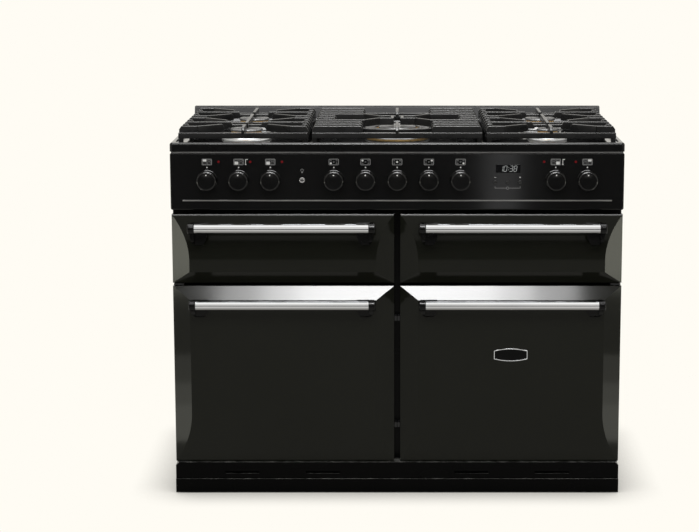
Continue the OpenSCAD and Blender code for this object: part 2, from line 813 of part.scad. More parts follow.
// Caps of all the burners
module burner_caps() {
    color([0.12, 0.12, 0.12]) {
        for (b = burners)
            translate([b.x, panel_y + b.y, crown_z + ring_t]) burner_cap(b.z, cap_t);
        translate([0, panel_y + mid_burner, hob_floor + flange_t + 3]) {
            translate([0, 0, 7]) burner_cap(wok_cap_r, 5);
            translate([0, 0, 6]) difference() {
                burner_cap(wok_r, 4.5);
                translate([0, 0, -over]) cylinder(r = wok_r - wok_band, h = 8, $fn = 96);
            }
        }
    }
}

// Spark electrodes and flame sensors, one of each beside every burner
module igniters() {
    color([0.9, 0.88, 0.84]) {
        for (b = burners) for (x = [b.z + igniter_gap, -b.z - igniter_gap])
            translate([b.x + x, panel_y + b.y, hob_floor]) {
                cylinder(r = 3.6, h = 12, $fn = 24);
                translate([0, 0, 12]) cylinder(r = 1.2, h = 6, $fn = 24);
            }
        for (x = [wok_r + 1, -wok_r - 1])
            translate([x, panel_y + mid_burner, hob_floor]) {
                cylinder(r = 3.6, h = 6, $fn = 24);
            }
    }
}

// Pan supports
rail_top = support_z - cast_h + rail_lap;
rear_rail = first_bar + 9 * bar_pitch + cast_w / 2;
side_half = side_support_w / 2;
mid_half = burner_x - side_half - support_gap;
ring_r = mid_half - ring_inset;
bend = 44;         // straight part of a diagonal finger
cross_half = 36;   // half the length of the lowered part over a burner

// A straight cast bar between two places, its ends sloped down by the given drops
module cast_bar(a, b, drop_a, drop_b, top = support_z) {
    run = b - a;
    len = hyp(run.x, run.y);
    low = support_z - cast_h;
    translate([a.x, a.y, 0]) rotate([0, 0, atan2(run.y, run.x)])
        translate([0, cast_w / 2, 0]) rotate([90, 0, 0]) linear_extrude(cast_w) polygon([
            [0, low], [0, top - drop_a], [drop_a * 0.7, top],
            [len - drop_b * 0.7, top], [len, top - drop_b], [len, low]
        ]);
}

// The lower frame of a pan support with its feet; x runs from -half to half
module cast_frame(half) {
    y0 = front_rail;
    y1 = rear_rail + rail_w;
    foot_r = 6.5;
    difference() {
        block([-half, y0, rail_top - rail_h], [half, y1, rail_top]);
        block([rail_w - half, y0 + rail_w, rail_top - rail_h - over],
              [half - rail_w, y1 - rail_w, rail_top + over]);
    }
    for (x = [-half + foot_r, half - foot_r], y = [y0 + foot_r, (y0 + y1) / 2, y1 - foot_r])
        rod_z([x, y, hob_floor], foot_r, rail_top - hob_floor - rail_h / 2);
}

// Depth of bar number k behind the control panel
function bar_at(k) = first_bar + k * bar_pitch;

// A finger that runs in from the side and turns towards a burner
module claw_finger(side, k, burner_d) {
    out = side_half - bend;
    rise = bar_at(k) - burner_d;
    reach = finger_gap / hyp(out, rise);
    cast_bar([side * side_half, bar_at(k)], [side * (out - 1), bar_at(k)], 8, 0);
    cast_bar([side * out, bar_at(k)], [side * out * reach, burner_d + rise * reach], 0, 6);
}

// A side pan support, centred on its two burners
module side_support(front_cap, rear_cap) {
    stub = 20;
    tip_front = front_burner - finger_gap * 0.65;
    color([0.06, 0.06, 0.06]) translate([0, panel_y, 0]) difference() {
        union() {
            cast_frame(side_half);
            block([-side_half + 1, bar_at(4.5) - rail_w / 2, rail_top - rail_h],
                  [side_half - 1, bar_at(4.5) + rail_w / 2, rail_top]);
            for (side = [-1, 1]) {
                for (k = [0, 4]) claw_finger(side, k, front_burner);
                for (k = [5, 9]) claw_finger(side, k, rear_burner);
                for (k = [1, 3, 6, 8])
                    cast_bar([side * side_half, bar_at(k)], [side * (side_half - stub), bar_at(k)],
                             8, 6);
            }
            for (k = [2, 7]) cast_bar([-side_half, bar_at(k)], [side_half, bar_at(k)], 8, 8);
            cast_bar([0, front_rail], [0, tip_front], 8, 6);
            cast_bar([0, bar_at(2) - 17], [0, rear_burner - 49], 0, 6);
            cast_bar([0, bar_at(7) - 6], [0, rear_rail + rail_w], 0, 8);
        }
        for (k = [2, 7])
            block([-cross_half, bar_at(k) - cast_w, support_z - low_step],
                  [cross_half, bar_at(k) + cast_w, support_z + over]);
        rod_z([0, front_burner, hob_floor], front_cap + 4, crown_z + ring_t + cap_t + 2.5 - hob_floor);
        rod_z([0, rear_burner, hob_floor], rear_cap + 4, crown_z + ring_t + cap_t + 2.5 - hob_floor);
    }
}

module pan_support_left() {
    translate([-burner_x, 0, 0]) side_support(big_cap_r, big_cap_r - 1);
}

module pan_support_right() {
    translate([burner_x, 0, 0]) side_support(small_cap_r, big_cap_r - 1);
}

// Middle pan support with its ring and two claws over the middle burner
module pan_support_centre() {
    bar_end = wok_r + 2;
    claw_x = 45;
    claw_y = 27;
    claw_tip = 8;
    finger_end = wok_r + 35;
    color([0.06, 0.06, 0.06]) translate([0, panel_y, 0]) {
        cast_frame(mid_half);
        difference() {
            rod_z([0, mid_burner, rail_top - rail_h], ring_r + rail_w / 2, rail_h, 128);
            rod_z([0, mid_burner, rail_top - rail_h - over], ring_r - rail_w / 2,
                  rail_h + 2 * over, 128);
        }
        for (side = [-1, 1]) {
            for (k = [0, 1, 2, 7, 8, 9])
                cast_bar([side * mid_half, bar_at(k)], [side * bar_end, bar_at(k)], 8, 6);
            for (k = [4, 5])
                cast_bar([side * mid_half, bar_at(k)], [side * (ring_r - rail_w / 2), bar_at(k)], 8, 6);
            for (way = [-1, 1]) {
                k = way < 0 ? 3 : 6;
                y = mid_burner + way * claw_y;
                cast_bar([side * mid_half, bar_at(k)], [side * (bar_end - 2), bar_at(k)], 8, 0);
                cast_bar([side * bar_end, bar_at(k)], [side * claw_x, y], 0, 0);
                cast_bar([side * (claw_x + 2), y], [side * claw_tip, y], 0, 0);
            }
            cast_bar([side * (claw_tip + cast_w / 2), mid_burner - claw_y],
                     [side * (claw_tip + cast_w / 2), mid_burner + claw_y], 0, 0);
        }
        cast_bar([0, front_rail], [0, mid_burner - finger_end], 8, 6);
        cast_bar([0, mid_burner + finger_end], [0, rear_rail + rail_w], 6, 8);
    }
}

// Outline of the control panel seen from the front, shrunk by t
module panel_outline(t) {
    r = 5 - t;
    for (x = [-1, 1], z = [panel_z0 + 5, panel_z1 - 5])
        translate([x * (half_w - 5), z]) circle(r = r);
    translate([-half_w + t, panel_z0 + 5]) square([body_w - 2 * t, panel_h - 10]);
    translate([-half_w + 5, panel_z0 + t]) square([body_w - 10, panel_h - 2 * t]);
}

// Places its children at every knob
module at_knobs() {
    for (k = [-6, -5, -4, -2, -1, 0, 1, 2, 5, 6]) translate([knob_x(k), 0, knob_z]) children();
}

// Control panel: a pressed front with holes for spindles, keys, lamps and the clock
module control_panel() {
    line_x = half_w - trim_inset;
    line_z = panel_z0 + 23.3;
    color([0.06, 0.06, 0.06]) difference() {
        union() {
            translate([0, frame_y, 0]) rotate([90, 0, 0])
                linear_extrude(frame_y - panel_y) panel_outline(0);
            block([-line_x, panel_y - trim_t, line_z - trim_h / 2],
                  [line_x, panel_y + 1, line_z + trim_h / 2]);
        }
        translate([0, frame_y + over, 0]) rotate([90, 0, 0])
            linear_extrude(frame_y + over - panel_y - panel_t) panel_outline(panel_t);
        at_knobs() rod_y([0, panel_y - over, 0], spindle_r + 2, panel_t + 2 * over);
        rod_y([knob_x(light_k), panel_y - over, knob_z], light_r + 0.3, panel_t + 2 * over);
        for (i = [-1:1])
            rod_y([clock_x + i * key_pitch, panel_y - over, key_z], key_r + 0.3,
                  panel_t + 2 * over);
        for (s = lamp_spots)
            rod_y([knob_x(s[0]) + s[1] * lamp_shift, panel_y - over, lamp_z],
                  lamp_r + 0.2, panel_t + 2 * over);
        block([clock_x + 1 - window_w / 2 - 0.2, panel_y - over, window_z + 10 - window_h / 2 - 0.2],
              [clock_x + 1 + window_w / 2 + 0.2, panel_y + panel_t + over,
               window_z + 10 + window_h / 2 + 0.2]);
    }
}

// Clock: its window and the housing behind the panel, with a bore for each key
module clock_module() {
    depth = 22;
    color([0.03, 0.03, 0.04]) difference() {
        union() {
            block([clock_x + 1 - window_w / 2, panel_y - 0.3, window_z + 10 - window_h / 2],
                  [clock_x + 1 + window_w / 2, panel_y + 10, window_z + 10 + window_h / 2]);
            block([clock_x - key_pitch - 9, panel_y + 10, key_z - 9],
                  [clock_x + key_pitch + 9, panel_y + 10 + depth,
                   window_z + 14 + window_h / 2]);
        }
        for (i = [-1:1])
            rod_y([clock_x + i * key_pitch, panel_y + 9, key_z], key_stem_r + run_gap, key_bore);
    }
}

// Lenses of the five red lamps
module indicator_lamps() {
    color([0.8, 0.05, 0.05])
        for (s = lamp_spots)
            translate([knob_x(s[0]) + s[1] * lamp_shift, panel_y - 1.2, lamp_z])
                rotate([-90, 0, 0]) {
                    cylinder(r = lamp_r, h = panel_t + 8);
                    translate([0, 0, 1.2 + panel_t]) cylinder(r = lamp_r + 2, h = 5);
                }
}

// Taps, switches and thermostats behind the panel, each with the bore of its spindle
module taps_and_switches() {
    neck_r = 9;
    body = 32;
    bore = 26;
    y0 = panel_y + panel_t;
    light_x = knob_x(light_k);
    color([0.62, 0.58, 0.45]) {
        at_knobs() difference() {
            union() {
                rod_y([0, y0, 0], neck_r, 7);
                block([-body / 2, y0 + 6, -body / 2], [body / 2, frame_y - 2, body / 2]);
            }
            rod_y([0, y0 - over, 0], spindle_r + run_gap, bore + over);
        }
        difference() {
            union() {
                block([light_x - 10, y0 + 7, knob_z - 10], [light_x + 10, y0 + 24, knob_z + 10]);
                for (z = [knob_z - 12, knob_z + 10])
                    block([light_x - 10, y0, z], [light_x + 10, y0 + 24, z + 2]);
            }
            rod_y([light_x, y0 + 6, knob_z], 2.5 + run_gap, 14);
        }
    }
}

// A control knob with its spindle; k counts knob places from the middle
module knob(k) {
    r = knob_d / 2;
    edge = 3;
    gap = 0.6;
    back = -gap;
    front = -knob_out;
    color([0.07, 0.07, 0.07]) translate([knob_x(k), panel_y, knob_z]) {
        rotate([90, 0, 0]) rotate_extrude($fn = 96) {
            translate([0, gap]) square([r, knob_out - gap - edge]);
            translate([0, gap]) square([r - edge, knob_out - gap]);
            translate([r - edge, knob_out - edge]) circle(r = edge, $fn = 48);
        }
        rod_y([0, back - over, 0], spindle_r, panel_t + 22 + gap + over);
        rod_y([0, front - 0.3, r * 0.6], 1.8, 0.3 + over, 24);
    }
}

// The oven light button with its stem
module light_button() {
    color([0.8, 0.8, 0.8]) translate([knob_x(light_k), panel_y, knob_z]) {
        rod_y([0, -3, 0], light_r, 3 + panel_t + 2);
        rod_y([0, panel_t + 1, 0], 2.5, 13);
    }
}

// A clock key with its stem
module clock_key(i) {
    color([0.1, 0.1, 0.1]) translate([clock_x + i * key_pitch, panel_y, key_z]) {
        rod_y([0, -1.5, 0], key_r, 1.5 + panel_t + 2.5);
        rod_y([0, panel_t + 2, 0], key_stem_r, 12);
    }
}

// Skin of a lower door, with a notch round each hinge pin
module lower_skin() {
    color([0.17, 0.17, 0.14]) difference() {
        lower_form(0);
        lower_form(sheet);
        for (z = [lower_z0 - over, lower_z1 - sheet - over])
            rod_z([pivot_x, pivot_y, z], relief_r, sheet + 2 * over);
    }
}

// Inner panel of a lower door with its two hinge blocks
module lower_liner() {
    edge = 1;
    block_w = 22;
    block_h = pin_len - 4;
    color([0.3, 0.3, 0.3]) difference() {
        union() {
            block([door_x0 + edge, skin_back_y, lower_z0 + edge],
                  [door_x1 - edge, skin_back_y + sheet, lower_z1 - edge]);
            difference() {
                block([door_x0 + liner_inset, skin_back_y, lower_z0 + liner_inset],
                      [door_x1 - liner_inset, liner_back_y, lower_z1 - liner_inset]);
                block([door_x0 + liner_inset + sheet, skin_back_y - over,
                       lower_z0 + liner_inset + sheet],
                      [door_x1 - liner_inset - sheet, liner_back_y - sheet,
                       lower_z1 - liner_inset - sheet]);
            }
            for (z = [lower_z0 + sheet + 1, lower_z1 - sheet - 1 - block_h])
                block([pivot_x - block_w / 2, pivot_y - 8, z],
                      [pivot_x + block_w / 2, skin_back_y + 6, z + block_h]);
        }
        for (z = [lower_z0 - over, lower_z1 - pin_len - over])
            rod_z([pivot_x, pivot_y, z], pin_r + run_gap, pin_len + 2 * over);
        for (z = [lower_z0 - over, lower_z1 - sheet - 1])
            rod_z([pivot_x, pivot_y, z], relief_r, sheet + 1 + over);
    }
}

// A handle bar at a height in front of a door
module handle_bar(z) {
    color([0.85, 0.85, 0.87])
        rod_x([door_cx - bar_len / 2, door_face_y - bar_reach, z], bar_d / 2, bar_len, 64);
}

// Both brackets of a handle: an end cap with an arm that swings down to the door face
module handle_brackets(z, foot_drop) {
    x1 = door_cx + bar_len / 2;
    cap_x = x1 + cap_len;
    y = door_face_y - bar_reach;
    arm_r = foot_drop + 2;
    sweep_r = 2 * arm_w + 4;
    color([0.04, 0.04, 0.04])
        for (side = [0, 1]) translate([door_cx, 0, 0]) mirror([side, 0, 0])
            translate([-door_cx, 0, 0]) difference() {
                union() {
                    rod_x([x1, y, z], bar_d / 2 + cap_proud, cap_len - 2, 64);
                    rod_x([x1, y, z], bar_d / 2 - 2 * cap_proud, cap_len, 64);
                    intersection() {
                        block([x1, y, z - foot_drop], [cap_x - 2, door_edge_y, z + bar_d / 2]);
                        rod_x([x1, door_face_y - 6, z + 2], arm_r, cap_len, 96);
                    }
                    intersection() {
                        block([cap_x - arm_w, y + bar_d / 2 + 1, z - foot_drop],
                              [x1, door_edge_y, z + bar_d / 4]);
                        rod_x([x1 - arm_w, door_face_y - 6, z + 2], arm_r, arm_w + 1, 96);
                        rod_y([cap_x - arm_w + sweep_r - 3, y, z + 5], sweep_r,
                              door_edge_y - y + over, 128);
                    }
                }
                children();
            }
}

// Skin of an upper front
module upper_skin() {
    color([0.17, 0.17, 0.14]) difference() {
        upper_form(0);
        upper_form(sheet);
    }
}

// Inner panel of an upper front, raised towards its chamber
module upper_liner() {
    edge = 1;
    block([door_x0 + edge, skin_back_y, upper_z0 + edge],
          [door_x1 - edge, skin_back_y + sheet, upper_z1 - edge]);
    difference() {
        block([door_x0 + liner_inset, skin_back_y, upper_z0 + liner_inset],
              [door_x1 - liner_inset, liner_back_y, upper_z1 - liner_inset]);
        block([door_x0 + liner_inset + sheet, skin_back_y - over,
               upper_z0 + liner_inset + sheet],
              [door_x1 - liner_inset - sheet, liner_back_y - sheet,
               upper_z1 - liner_inset - sheet]);
    }
}

// A runner fin that slides between the ledges of a chamber, on the positive side
module runner_fin(len, inner) {
    block([inner, liner_back_y, ledge_z + slide_gap],
          [cavity_w / 2 - side_clear, liner_back_y + len, ledge_z + slide_gap + fin_h]);
}

pan_half = cavity_w / 2 - ledge_w - 2 * side_clear;
pan_y = liner_back_y + 12;
rest_w = 5;        // width of the rest along each rail that carries the pan

// Grill carriage: the inner panel, two rails with rests and a rear bar
module grill_carriage() {
    z0 = ledge_z + slide_gap;
    color([0.6, 0.61, 0.62]) translate([0, 0, 0]) {
        mirror([1, 0, 0]) upper_liner();
        translate([-door_cx, 0, 0]) {
            for (side = [0, 1]) mirror([side, 0, 0]) {
                runner_fin(rail_len, pan_half + side_clear);
                block([pan_half - rest_w, liner_back_y, z0],
                      [pan_half + side_clear, liner_back_y + rail_len, z0 + 2]);
            }
            block([-pan_half, liner_back_y + rail_len - 10, z0],
                  [pan_half, liner_back_y + rail_len, z0 + 10]);
        }
    }
}

// Grill pan standing in the carriage, with its wire rack
module grill_pan() {
    z0 = ledge_z + slide_gap + 2;
    rack_z = 18;
    w = 2 * pan_half - 2;
    color([0.15, 0.15, 0.16]) translate([-door_cx, pan_y, z0]) {
        difference() {
            soft_prism([-w / 2, 0, 0], [w / 2, pan_d, pan_h], 12);
            soft_prism([sheet - w / 2, sheet, sheet], [w / 2 - sheet, pan_d - sheet, pan_h + over],
                       10);
        }
        translate([0, 12, rack_z]) {
            wire_shelf(w - 24, pan_d - 24, 2.5, 1.8, 24);
            for (x = [14.5 - w / 2, w / 2 - 14.5], y = [30, pan_d - 54])
                rod_z([x, y, sheet - rack_z + run_gap], 2.5, rack_z - run_gap);
        }
    }
}

// Drawer: the inner panel with its open box and runner fins
module drawer_box() {
    z0 = ledge_z - 6;
    x1 = pan_half;
    color([0.6, 0.61, 0.62]) {
        upper_liner();
        translate([door_cx, 0, 0]) {
            difference() {
                block([-x1, liner_back_y, z0], [x1, liner_back_y + drawer_d, z0 + drawer_h]);
                block([sheet - x1, liner_back_y + sheet, z0 + sheet],
                      [x1 - sheet, liner_back_y + drawer_d - sheet, z0 + drawer_h + over]);
            }
            for (side = [0, 1]) mirror([side, 0, 0]) runner_fin(drawer_d, x1);
        }
    }
}

lower_bar_z = lower_z1 - lower_bar_drop;
upper_bar_z = upper_z1 - upper_bar_drop;

module left_fan() { fan_wheel(-1); }
module right_fan() { fan_wheel(1); }
module left_door_skin() { mirror([1, 0, 0]) lower_skin(); }
module left_door_liner() { mirror([1, 0, 0]) lower_liner(); }
module left_handle_bar() { mirror([1, 0, 0]) handle_bar(lower_bar_z); }
module left_handle_brackets() {
    mirror([1, 0, 0]) handle_brackets(lower_bar_z, lower_foot_drop) lower_form(0);
}
module right_door_skin() { lower_skin(); }
module right_door_liner() { lower_liner(); }
module right_handle_bar() { handle_bar(lower_bar_z); }
module right_handle_brackets() { handle_brackets(lower_bar_z, lower_foot_drop) lower_form(0); }
module grill_skin() { mirror([1, 0, 0]) upper_skin(); }
module grill_handle_bar() { mirror([1, 0, 0]) handle_bar(upper_bar_z); }
module grill_handle_brackets() {
    mirror([1, 0, 0]) handle_brackets(upper_bar_z, upper_foot_drop) upper_form(0);
}
module drawer_skin() { upper_skin(); }
module drawer_handle_bar() { handle_bar(upper_bar_z); }
module drawer_handle_brackets() { handle_brackets(upper_bar_z, upper_foot_drop) upper_form(0); }

base_frame();
plinth();
levelling_feet();
side_panels();
back_panel();
front_frame();
oven_liners();
upper_chambers();
door_seals();
oven_shelves();
fan_covers();
fan_motors();
left_fan();
right_fan();
grill_element();
hinges_and_catches();
hob_tray();
rear_upstand();
burner_bases();
burner_rings();
burner_caps();
igniters();
pan_support_left();
pan_support_centre();
pan_support_right();
control_panel();
clock_module();
indicator_lamps();
taps_and_switches();
left_door_skin();
left_door_liner();
left_handle_bar();
left_handle_brackets();
right_door_skin();
right_door_liner();
right_handle_bar();
right_handle_brackets();
grill_skin();
grill_carriage();
grill_pan();
grill_handle_bar();
grill_handle_brackets();
drawer_skin();
drawer_box();
drawer_handle_bar();
drawer_handle_brackets();
knob(-6);  // knob_grill
knob(-5);  // knob_left_oven_heat
knob(-4);  // knob_left_oven_mode
knob(-2);  // knob_front_left_burner
knob(-1);  // knob_rear_left_burner
knob(0);  // knob_centre_burner
knob(1);  // knob_rear_right_burner
knob(2);  // knob_front_right_burner
knob(5);  // knob_right_oven_heat
knob(6);  // knob_drawer_heat
light_button();
clock_key(-1);  // clock_minus_button
clock_key(0);  // clock_mode_button
clock_key(1);  // clock_plus_button
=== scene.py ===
# %% [markdown]
# # A range cooker in black enamel and pewter
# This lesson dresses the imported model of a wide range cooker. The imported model, called the
# frame, holds every part at its real size, in metres, with +Z up and the front towards -Y.
# Each piece below takes its place from the frame, so nothing has to be fitted by hand.

# %% Load the frame
import json
import math

import bmesh
import bpy
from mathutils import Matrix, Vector
from mathutils.geometry import tessellate_polygon


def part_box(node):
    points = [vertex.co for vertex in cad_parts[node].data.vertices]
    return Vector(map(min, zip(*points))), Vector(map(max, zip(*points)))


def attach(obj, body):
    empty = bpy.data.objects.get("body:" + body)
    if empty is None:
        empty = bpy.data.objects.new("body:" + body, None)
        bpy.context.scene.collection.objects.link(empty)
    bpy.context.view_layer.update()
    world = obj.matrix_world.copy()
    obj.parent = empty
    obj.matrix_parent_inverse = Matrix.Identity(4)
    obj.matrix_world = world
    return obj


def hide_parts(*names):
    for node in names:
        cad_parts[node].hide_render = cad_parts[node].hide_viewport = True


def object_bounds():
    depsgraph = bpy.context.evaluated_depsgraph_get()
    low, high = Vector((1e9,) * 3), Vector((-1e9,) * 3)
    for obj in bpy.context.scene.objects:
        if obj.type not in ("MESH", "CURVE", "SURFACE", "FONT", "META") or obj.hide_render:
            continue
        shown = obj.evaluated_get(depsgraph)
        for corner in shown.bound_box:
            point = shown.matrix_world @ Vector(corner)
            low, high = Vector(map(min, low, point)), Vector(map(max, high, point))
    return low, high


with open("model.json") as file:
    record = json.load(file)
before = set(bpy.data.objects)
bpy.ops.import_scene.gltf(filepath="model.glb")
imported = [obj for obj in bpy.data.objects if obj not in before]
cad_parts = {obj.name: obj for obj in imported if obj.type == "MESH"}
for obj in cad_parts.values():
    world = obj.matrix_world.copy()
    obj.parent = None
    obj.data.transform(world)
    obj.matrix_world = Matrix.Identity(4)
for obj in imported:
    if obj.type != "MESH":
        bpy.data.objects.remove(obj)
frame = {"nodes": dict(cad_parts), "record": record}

MM = 0.001
cad_low, cad_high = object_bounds()
node_objects = frame["nodes"]

# %% [markdown]
# ## Levels of the cooker
# A cooker is built up in levels: plinth, base rail, lower doors, upper fronts, control
# panel and hob. Their heights and depths are read from the frame once, and every piece
# is then set out from them.

# %% Read the levels
door_low, door_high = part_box("right_door_skin")
front_low, front_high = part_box("drawer_skin")
panel_low, panel_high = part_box("control_panel")
hob_low, hob_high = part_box("hob_tray")
upstand_low, upstand_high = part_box("rear_upstand")
rail_low, rail_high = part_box("base_frame")
plinth_low, plinth_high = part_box("plinth")

half_w = cad_high.x
panel_trim = 0.8 * MM
panel_y = panel_low.y + panel_trim
door_w = door_high.x - door_low.x
door_x = (door_low.x + door_high.x) / 2
door_face = door_low.y
for word, level in (("plinth", plinth_high.z), ("base rail", rail_high.z),
                    ("lower doors", door_high.z), ("upper fronts", front_high.z),
                    ("panel", panel_high.z), ("hob", hob_high.z),
                    ("upstand", upstand_high.z)):
    print(word, "up to", round(level, 4))
print("door", round(door_w, 4), "wide, panel face at y =", round(panel_y, 4))

# %% [markdown]
# ## Camera
# The photograph was taken from a little above the hob, square to the front, with a long
# lens. The distance and the lens come from a pinhole camera fitted to the corners of the
# front. A small shift sets the cooker to the right of the middle, as in the photograph.

# %% Set the camera
IMAGE_W = 699
FOCAL_PIXELS = 1829.0
SENSOR = 36.0
CAMERA_BACK = 4.355
CAMERA_HEIGHT = 1.393
CAMERA_PITCH = math.radians(9.16)
SHIFT_X, SHIFT_Y = -0.0682, -0.07

camera_data = bpy.data.cameras.new("camera")
camera_data.sensor_width = SENSOR
camera_data.lens = SENSOR * FOCAL_PIXELS / IMAGE_W
camera_data.shift_x = SHIFT_X
camera_data.shift_y = SHIFT_Y
camera = bpy.data.objects.new("camera", camera_data)
camera.location = (0.0, panel_y - CAMERA_BACK, CAMERA_HEIGHT)
camera.rotation_euler = (math.pi / 2 - CAMERA_PITCH, 0.0, 0.0)
bpy.context.scene.collection.objects.link(camera)
bpy.context.scene.camera = camera
print("lens", round(camera_data.lens, 1), "mm")

# %% [markdown]
# ## Room
# A product photograph has an even pale ground. The world and the floor show one cream
# colour to the camera, to gloss and to glass, while the light that they send to rough
# surfaces stays at a plain level. The floor darkens only where the cooker shades it.

# %% Make the world and the floor
CREAM = (1.0, 0.973, 0.905, 1.0)
AMBIENT_COLOUR = (1.0, 0.99, 0.97, 1.0)
AMBIENT_STRENGTH = 0.55


def larger(nodes, links, first, second):
    """The larger one of two values."""
    node = nodes.new("ShaderNodeMath")
    node.operation = "MAXIMUM"
    links.new(first, node.inputs[0])
    links.new(second, node.inputs[1])
    return node.outputs[0]


def seen_directly(nodes, links):
    """1 for camera, glossy and transmission rays, 0 for the rest."""
    path = nodes.new("ShaderNodeLightPath")
    seen = larger(nodes, links, path.outputs["Is Camera Ray"], path.outputs["Is Glossy Ray"])
    return larger(nodes, links, seen, path.outputs["Is Transmission Ray"])


world = bpy.data.worlds.new("room")
world.use_nodes = True
bpy.context.scene.world = world
wn, wl = world.node_tree.nodes, world.node_tree.links
ambient = wn["Background"]
ambient.inputs["Color"].default_value = AMBIENT_COLOUR
ambient.inputs["Strength"].default_value = AMBIENT_STRENGTH
ground = wn.new("ShaderNodeBackground")
ground.inputs["Color"].default_value = CREAM
ground.inputs["Strength"].default_value = 1.0
pick = wn.new("ShaderNodeMixShader")
wl.new(seen_directly(wn, wl), pick.inputs[0])
wl.new(ambient.outputs[0], pick.inputs[1])
wl.new(ground.outputs[0], pick.inputs[2])
wl.new(pick.outputs[0], wn["World Output"].inputs["Surface"])
bpy.context.scene.view_settings.view_transform = "Standard"

FLOOR_REACH = 30.0
floor_mesh = bpy.data.meshes.new("floor")
floor_mesh.from_pydata([(-FLOOR_REACH, -FLOOR_REACH, 0), (FLOOR_REACH, -FLOOR_REACH, 0),
                        (FLOOR_REACH, FLOOR_REACH, 0), (-FLOOR_REACH, FLOOR_REACH, 0)],
                       [], [(0, 1, 2, 3)])
floor = bpy.data.objects.new("floor", floor_mesh)
bpy.context.scene.collection.objects.link(floor)
print("world and floor made")

# %% [markdown]
# A floor that glows evenly would lose the cooker's shadow, and the cooker would seem to
# float. An ambient occlusion node keeps it: it measures how much of the space over a point
# is closed off, and darkens the cream close to the cooker. Light that the floor sends on to
# rough surfaces comes from a plain pale one instead.

# %% Make the floor material
FLOOR_PALE = (0.8, 0.78, 0.74, 1.0)
SHADOW_REACH = 0.12
SHADOW_SAMPLES = 8

floor_material = bpy.data.materials.new("floor_cream")
floor_material.use_nodes = True
fn, fl = floor_material.node_tree.nodes, floor_material.node_tree.links
plain = fn["Principled BSDF"]
plain.inputs["Base Color"].default_value = FLOOR_PALE
plain.inputs["Roughness"].default_value = 0.9
plain.inputs["Specular IOR Level"].default_value = 0.0
shade = fn.new("ShaderNodeAmbientOcclusion")
shade.inputs["Color"].default_value = CREAM
shade.inputs["Distance"].default_value = SHADOW_REACH
shade.samples = SHADOW_SAMPLES
glow = fn.new("ShaderNodeEmission")
fl.new(shade.outputs["Color"], glow.inputs["Color"])
blend = fn.new("ShaderNodeMixShader")
fl.new(seen_directly(fn, fl), blend.inputs[0])
fl.new(plain.outputs[0], blend.inputs[1])
fl.new(glow.outputs[0], blend.inputs[2])
fl.new(blend.outputs[0], fn["Material Output"].inputs["Surface"])
floor_mesh.materials.append(floor_material)
print("floor material made")

# %% [markdown]
# ## Lights
# Dark gloss is drawn by what it mirrors. Three soft boxes hang in one place high over the
# front and are mirrored in the sloping tops of the lower doors. They differ in width, so
# that their light adds up in the middle and fades towards the ends. A box at each side
# shows in the bevels down the outer door edges. Three low ones of growing height beside the
# floor are mirrored there too, so that these bevels get lighter towards the bottom.

# %% Write the lamp helper
def soft_box(name, place, aim, size, power, diffuse=False, gloss=True):
    """An area lamp that the camera doesn't see, aimed at a point."""
    data = bpy.data.lights.new(name, "AREA")
    data.shape = "RECTANGLE"
    data.size, data.size_y = size
    data.energy = power
    lamp = bpy.data.objects.new(name, data)
    lamp.location = place
    lamp.rotation_euler = (Vector(aim) - Vector(place)).to_track_quat("-Z", "Y").to_euler()
    lamp.visible_camera = False
    lamp.visible_diffuse = diffuse
    lamp.visible_glossy = gloss
    bpy.context.scene.collection.objects.link(lamp)
    return lamp


print("lamp helper ready")

# %% Hang the boxes that show in the enamel
STRIP_D = 0.35
STRIP_WIDTH_POWER = ((0.85, 118.0), (1.15, 110.0), (1.55, 76.0))
strips = [soft_box("strip", place=(0.0, -1.99, 3.4), aim=(0.0, -0.27, 0.5),
                   size=(width, STRIP_D), power=power)
          for width, power in STRIP_WIDTH_POWER]
line_box = soft_box("line_box", place=(0.0, -2.42, 3.18), aim=(0.0, -0.25, 0.69),
                    size=(3.6, 0.4), power=120.0)
edge_box = soft_box("edge_box", place=(0.0, 0.1, 3.0), aim=(0.0, 0.05, 0.9),
                    size=(2.4, 1.2), power=110.0)

SIDE_TINT, LOW_TINT = (1.0, 1.0, 0.84), (1.0, 1.0, 0.88)
LOW_GAP, LOW_W = 0.01, 0.3
LOW_HEIGHT_POWER = ((0.1, 0.13), (0.16, 0.27), (0.24, 0.4))
for side in (-1, 1):
    lamp = soft_box("side_box", place=(side * 1.93, -1.04, 0.34),
                    aim=(side * 0.53, -0.26, 0.34), size=(0.6, 0.28), power=6.0)
    lamp.data.color = SIDE_TINT
    for height, power in LOW_HEIGHT_POWER:
        lamp = soft_box("low_box", place=(side * 0.9, -0.47, height / 2 + LOW_GAP),
                        aim=(side * 0.53, -0.26, 0.12), size=(LOW_W, height), power=power)
        lamp.data.color = LOW_TINT

# %% [markdown]
# All the boxes above add gloss alone. That goes for the line box too, which is wide and
# hangs in front, to draw a line along the top of the upper fronts, and for the edge box
# over the hob, which draws the edges of the iron. The colours are seen by two plain boxes,
# one over the hob and one in front that fills the shadows. A slim weak box shows as a soft
# light zone in the control panel, beside the clock, and a mild one shows in the chrome.

# %% Hang the plain boxes and the small ones
hob_box = soft_box("hob_box", place=(0.0, 0.1, 2.9), aim=(0.0, 0.05, 0.9),
                   size=(2.4, 1.2), power=36.0, diffuse=True)
panel_box = soft_box("panel_box", place=(0.31, -1.26, 0.7), aim=(0.25, -0.26, 0.78),
                     size=(0.1, 0.5), power=0.45)
chrome_box = soft_box("chrome_box", place=(0.0, -1.13, 2.87), aim=(0.0, -0.32, 0.6),
                      size=(3.0, 0.8), power=5.0)
soft_box("fill_box", place=(0.0, -2.8, 2.6), aim=(0.0, -0.27, 0.6),
         size=(2.4, 1.2), power=45.0, diffuse=True, gloss=False)

